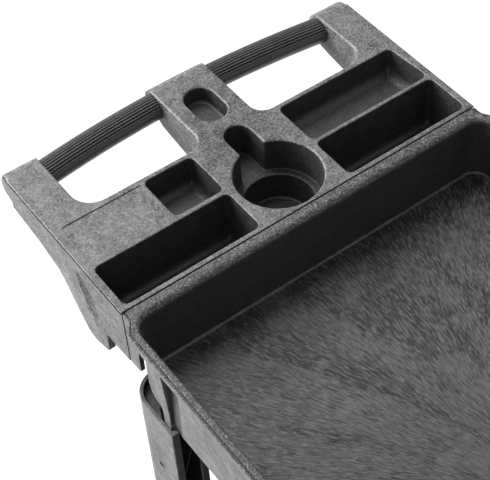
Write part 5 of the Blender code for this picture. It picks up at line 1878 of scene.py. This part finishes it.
@dataclass
class Leg(Moulding):
    """A channel leg, open towards the middle of the cart, with slanting ribs inside.

    Attributes:
        height: Its length.
        leg_lip: How far its front edges turn in.
        front_corner: Radius of its outer corner beside the opening.
        ribs: Number of slanting ribs.
        rib_thickness: Half the thickness of a rib.
        slot: Width and height of the slot in its outer face.
        slot_place: How far the slot lies from the tray's end, and under the leg's top.
        ease: Radius of its ends' edges.
    """

    height: float = 0.0
    leg_lip: float = 0.0085
    front_corner: float = 0.0016
    ribs: int = 4
    rib_thickness: float = 0.003
    slot: Point = (0.0072, 0.0052)
    slot_place: Point = (0.049, 0.0890)
    ease: float = 0.0006

    def outline(self) -> Outline:
        """Return the channel's outline in plan, rear right corner."""
        wall = self.leg_wall
        out, inside, front = self.leg_out, self.leg_in, self.leg_front
        lip_start = -front + self.leg_lip_length
        return rounded([
            (out, -front, self.front_corner), (out, -self.leg_inset, self.leg_corner),
            (inside, -self.leg_inset, 0.006), (inside, -front, 0.0012),
            (inside + self.leg_lip, -front, 0.0012), (inside + self.leg_lip, lip_start - 0.001, 0.0),
            (inside + wall, lip_start + 0.002, 0.0), (inside + wall, -self.leg_inset - wall, 0.002),
            (out - wall, -self.leg_inset - wall, self.leg_corner - wall), (out - wall, lip_start + 0.002, 0.0),
            (out - self.leg_lip, lip_start - 0.001, 0.0), (out - self.leg_lip, -front, 0.0012),
        ], 0.0, 10)

    def brace(self, start: float, end: float, low: float, high: float) -> Mesh:
        """Return one slanting rib between the leg's two sides.

        Args:
            start: X of its lower end.
            end: X of its upper end.
            low: Height of its lower end.
            high: Height of its upper end.

        Returns:
            The rib.
        """
        thick = 2 * self.rib_thickness
        front = -self.leg_front + 4 * self.leg_lip_length
        outline = [(start, low), (end, high), (end, high + thick), (start, low + thick)]
        mesh = prism(outline, 0.0, -front)
        mesh.transform(Matrix(((1, 0, 0, 0), (0, 0, -1, 0), (0, 1, 0, 0), (0, 0, 0, 1))))
        return mesh

    def mesh(self) -> Mesh:
        """Return the rear right leg, its foot at height 0."""
        outline = self.outline()
        wall = self.leg_wall
        body = eased(outline, 0.0, self.height, self.ease, 3)
        low = self.plug_reach + 0.004
        high = self.height - self.plug_reach - self.tongue_reach / 2
        rise = (high - low) / self.ribs
        left, right = self.leg_in + wall - OVERLAP, self.leg_out - wall + OVERLAP
        rear = -self.leg_inset - wall + OVERLAP
        front = -self.leg_front
        inside = [(left, front), (right, front), (right, rear, self.leg_corner - wall), (left, rear)]
        core = prism(rounded(inside, 0.0, 10), 0.0, self.height)
        for i in range(self.ribs):
            start, end = (left, right) if i % 2 == 0 else (right, left)
            rib = self.brace(start, end, low + i * rise, low + (i + 1) * rise - self.rib_thickness)
            body = join(body, boolean(rib, core, "INTERSECT"))
        slot_y, slot_z = self.slot[0] / 2, self.slot[1] / 2
        place, drop = self.slot_place
        z = self.height - drop
        opening = rounded([(-place - slot_y, z - slot_z), (-place + slot_y, z - slot_z),
                           (-place + slot_y, z + slot_z), (-place - slot_y, z + slot_z)], 0.0012, 4)
        return cut(body, on_side(prism(opening, self.leg_out - wall - OVERLAP, self.leg_out + OVERLAP)))

    def zone(self, at: Vector, normal: Vector) -> int:
        """Tell which finish a face of the rear right leg takes: 0 outside, 1 outer lip, 2 channel; 1 and 2 are
        darkened with painted shade.
        """
        inner = at.x < self.leg_out - self.leg_lip / 2 and at.y < -self.leg_inset - self.leg_wall / 2
        outward = normal.x < -0.5 and at.x < self.leg_in + NEAR
        along, drop = self.slot_place
        away = abs(at.y + along) < self.slot[0] and abs(at.z - self.height + drop) < self.slot[1]
        # The front face of the outer lip takes the wall finish, darkened with painted shade.
        if normal.y < -0.7 and at.x > self.leg_out - self.leg_lip:
            return 1
        deep = inner and not outward and abs(normal.z) < 0.9
        return 2 if normal.y < -0.7 or deep or (away and abs(normal.x) < 0.7) else 0

    def build(self, seam_y: float, foot: float, finishes: Sequence[Material]) -> None:
        """Build and dress all four legs.

        Args:
            seam_y: Y of the seam between tray and console.
            foot: Height of the legs' feet.
            finishes: Finish of their outside, of the outer lips and of their channel, the last two darkened with
                painted shade.
        """
        rear_leg = self.mesh()
        for corner in Corner:
            sign_x, sign_y = corner.value
            middle = seam_y if corner.is_rear else seam_y - self.length
            name = "leg_" + corner.label
            item = self.place(mirrored(rear_leg, sign_x, sign_y), name + "_channel", (0.0, middle, foot))
            flip, origin = Vector((sign_x, sign_y, 1)), Vector((0.0, middle, foot))
            self.dress(item, finishes, lambda at, normal: self.zone((at - origin) * flip, normal * flip))
            self.settle(item, name)


@dataclass
class Caster:
    """One caster's wheel: finely turned tyre and moulded core.

    Attributes:
        corner: Where it stands.
        wheel_radius: Radius of the tread.
        tread_width: Width of the tyre.
        tyre_thickness: Thickness of the tyre.
        hub_width: Width of the hub.
        hub_radius: Radius of the hub.
        bore: Radius of the hub's bore.
        rim_lip: Width of the core's outer rim.
        spokes: Number of ribs on each face of the core.
        gap: Clearance between tyre and core.
        sides: Facets round the wheel.
    """

    corner: Corner
    wheel_radius: float = 0.0635
    tread_width: float = 0.032
    tyre_thickness: float = 0.0125
    hub_width: float = 0.038
    hub_radius: float = 0.0155
    bore: float = 0.0068
    rim_lip: float = 0.0045
    spokes: int = 6
    gap: float = 0.0003
    sides: int = 96

    def tyre(self) -> Mesh:
        """Return the tyre, with rounded shoulders and two fine grooves."""
        seat = self.wheel_radius - self.tyre_thickness + self.gap
        half, top = self.tread_width / 2, self.wheel_radius
        side: Outline = [(seat, half - 0.001), (seat + 0.002, half - 0.0002), (top - 0.0075, half)]
        side += [(top - 0.0055 + 0.0050 * math.sin(a), half - 0.0050 + 0.0050 * math.cos(a))
                 for a in [math.pi / 2 * i / 8 for i in range(1, 8)]]
        groove = half * 0.42
        crown = [(top - 0.0002, groove + 0.0016), (top, groove + 0.0010), (top - 0.0009, groove + 0.0006),
                 (top - 0.0009, groove - 0.0006), (top, groove - 0.0010)]
        return self.wheel_piece(side + crown)

    def core(self) -> Mesh:
        """Return the wheel's moulded core: hub, dished web with ribs, and rim."""
        rim = self.wheel_radius - self.tyre_thickness
        half_hub, half_rim = self.hub_width / 2, self.tread_width / 2 - 0.001
        hub = self.hub_radius
        lip = self.rim_lip
        side: Outline = [
            (self.bore, half_hub - 0.0006), (self.bore + 0.0006, half_hub), (hub - 0.0035, half_hub),
            (hub - 0.0022, half_hub - 0.0006), (hub - 0.0015, half_hub - 0.002), (hub + 0.0005, half_hub - 0.0075),
            (hub + 0.0025, 0.0058), (hub + 0.0050, 0.0050), (rim - 0.0120, 0.0036), (rim - 0.0095, 0.0042),
            (rim - 0.0080, 0.0060), (rim - lip - 0.0008, half_rim - 0.0016), (rim - lip, half_rim - 0.0006),
            (rim - lip + 0.0010, half_rim - 0.0003), (rim - 0.0008, half_rim), (rim, half_rim - 0.0006),
        ]
        body = self.wheel_piece(side)
        inner, outer = hub - 0.001, rim - lip - 0.001
        for i in range(self.spokes):
            angle = 360.0 * (i + 0.5) / self.spokes
            rib = [(-0.0016, inner), (0.0016, inner), (0.0016, outer), (-0.0016, outer)]
            for sign in (-1, 1):
                low, high = sorted((0.0, sign * (half_rim - 0.0035)))
                mesh = prism(rib, low, high)
                mesh.transform(Matrix.Rotation(math.radians(angle), 4, "Z"))
                mesh.transform(Matrix.Rotation(math.pi / 2, 4, "Y"))
                body = join(body, mesh)
        return body

    def wheel_piece(self, half: Outline) -> Mesh:
        """Turn half a profile and its mirror image about the wheel's axis, which runs along X."""
        profile = half + [(radius, -height) for radius, height in reversed(half)]
        mesh = turned(profile, self.sides, ring=True)
        mesh.transform(Matrix.Rotation(math.pi / 2, 4, "Y"))
        return mesh

    def build(self, rubber: Material, plastic: Material) -> None:
        """Build and dress the wheel.

        Args:
            rubber: Finish of the tyre.
            plastic: Finish of the core.
        """
        label = self.corner.label
        low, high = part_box("tyre_" + label)
        hub = (Vector(low) + Vector(high)) / 2
        for node, mesh, finish, smooth in (
            ("tyre_" + label, self.tyre(), rubber, 40.0),
            ("wheel_core_" + label, self.core(), plastic, 35.0),
        ):
            item = Moulding.place(mesh, node + "_fine", hub, smooth)
            Moulding.dress(item, [finish])
            Moulding.settle(item, node, "wheel_" + label)


@dataclass
class Hardware:
    """Screws, plates, forks, pins and axles, which keep their solids and get fine edges.

    Attributes:
        nodes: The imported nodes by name.
        bevel: Radius of their edges.
    """

    nodes: dict[str, bpy.types.Object]
    bevel: float = 0.00045

    def dress(self, start: str, finish: Material) -> None:
        """Finish every node whose name begins with a word.

        Args:
            start: The beginning of the names.
            finish: Their material.
        """
        for name, item in self.nodes.items():
            if not name.startswith(start):
                continue
            item.data.materials.clear()
            item.data.materials.append(finish)
            ease = item.modifiers.new("ease", "BEVEL")
            ease.width = self.bevel
            ease.segments = 2
            ease.limit_method = "ANGLE"
            ease.angle_limit = math.radians(40.0)
            ease.harden_normals = True
            LOG.info("%s: dressed", name)


def main() -> None:
    """Build the cart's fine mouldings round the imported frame, dress them and light them."""
    logging.basicConfig(level=logging.INFO)
    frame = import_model()
    Studio().build()
    # The console's foam is darkened round its gate: painted shade over the middle of its top.
    foam = Foam(gate=(0.0, 0.385), painted_shade=0.16).material("console_foam")
    # The pockets' finish is darkened to paint the shade inside the bins and cup well, and is a little smoother.
    pocket_shade = Foam(dark=(0.022, 0.023, 0.024), light=(0.088, 0.090, 0.092), grain=0.30, specks=0.16,
                    roughness=0.42).material("pocket_shade_foam")
    # The wall finish is darkened to paint the shade on the trays' inner walls, the scoops, the rim's edge at the
    # seam and the legs' front lips.
    wall = Foam(dark=(0.024, 0.025, 0.027), light=(0.075, 0.077, 0.080), grain=0.26, specks=0.12,
                roughness=0.50).material("wall_shade_foam")
    # The channel finish is the darkest, to paint the shade inside the legs' channels and slots and in the console's
    # grooves and seam.
    channel = Foam(dark=(0.008, 0.008, 0.009), light=(0.034, 0.035, 0.036), grain=0.20).material("channel_shade_foam")
    # The edge finish is lighter to paint a highlight along rolled edges and proud ridges.
    edge = Foam(dark=(0.050, 0.051, 0.052), light=(0.430, 0.434, 0.440), mottle=0.20, grain=0.26, specks=0.30,
                roughness=0.40).material("edge_highlight_foam")
    side = Foam(dark=(0.050, 0.052, 0.054), light=(0.295, 0.299, 0.301), clouds=0.46, mottle=0.30, grain=0.10,
                specks=0.06, relief=0.00008, roughness=0.46).material("side_foam")
    rim = Foam(dark=(0.004, 0.005, 0.006), light=(0.262, 0.266, 0.271), clouds=0.10, mottle=0.12, grain=0.32,
               specks=1.00, grain_size=370.0, relief=0.00035).material("rim_foam")
    flow = Foam(dark=(0.003, 0.004, 0.005), light=(0.160, 0.163, 0.167), skin=Skin.FLOW,
                gate=(0.0, -0.12)).material("floor_foam")
    rubber = Plain((0.100, 0.101, 0.103), 0.32).material("grip_rubber")
    tyre_rubber = Plain((0.040, 0.041, 0.043), 0.70).material("tyre_rubber")
    plastic = Plain((0.035, 0.036, 0.038), 0.45).material("wheel_plastic")
    zinc = Plain((0.60, 0.61, 0.62), 0.34, 1.0, 500.0, 0.00003, 0.12).material("zinc_plate")
    steel = Plain((0.50, 0.51, 0.53), 0.28, 1.0, 700.0, 0.00002, 0.10).material("bright_steel")
    bush = Plain((0.72, 0.71, 0.68), 0.5).material("sleeve_plastic")
    tray_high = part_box("top_shelf")[1]
    seam_top = Vector((0.0, tray_high[1], tray_high[2]))
    HandleConsole().build(seam_top, [foam, pocket_shade, edge, channel])
    Grip().build_grips(seam_top, rubber)
    UpperTray().build(seam_top, [side, rim, wall, flow, edge])
    base_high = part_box("bottom_shelf")[1]
    leg_low, leg_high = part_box("leg_rear_left")
    base_top = Vector((0.0, base_high[1], leg_low[2] - Moulding.gap))
    LowerTray().build(base_top, [side, rim, wall, flow, edge])
    Leg(height=leg_high[2] - leg_low[2]).build(seam_top.y, leg_low[2], [side, wall, channel])
    for corner in Corner:
        Caster(corner).build(tyre_rubber, plastic)
    hardware = Hardware(frame["nodes"])
    for start, finish in (
        ("handle_core_bar", steel), ("leg_screw", zinc), ("console_screw", zinc), ("swivel_plate", zinc),
        ("ball_race", steel), ("kingpin", steel), ("fork", zinc), ("axle_bolt", steel), ("axle_nut", steel),
        ("axle_sleeve", bush),
    ):
        hardware.dress(start, finish)


if __name__ == "__main__":
    main()
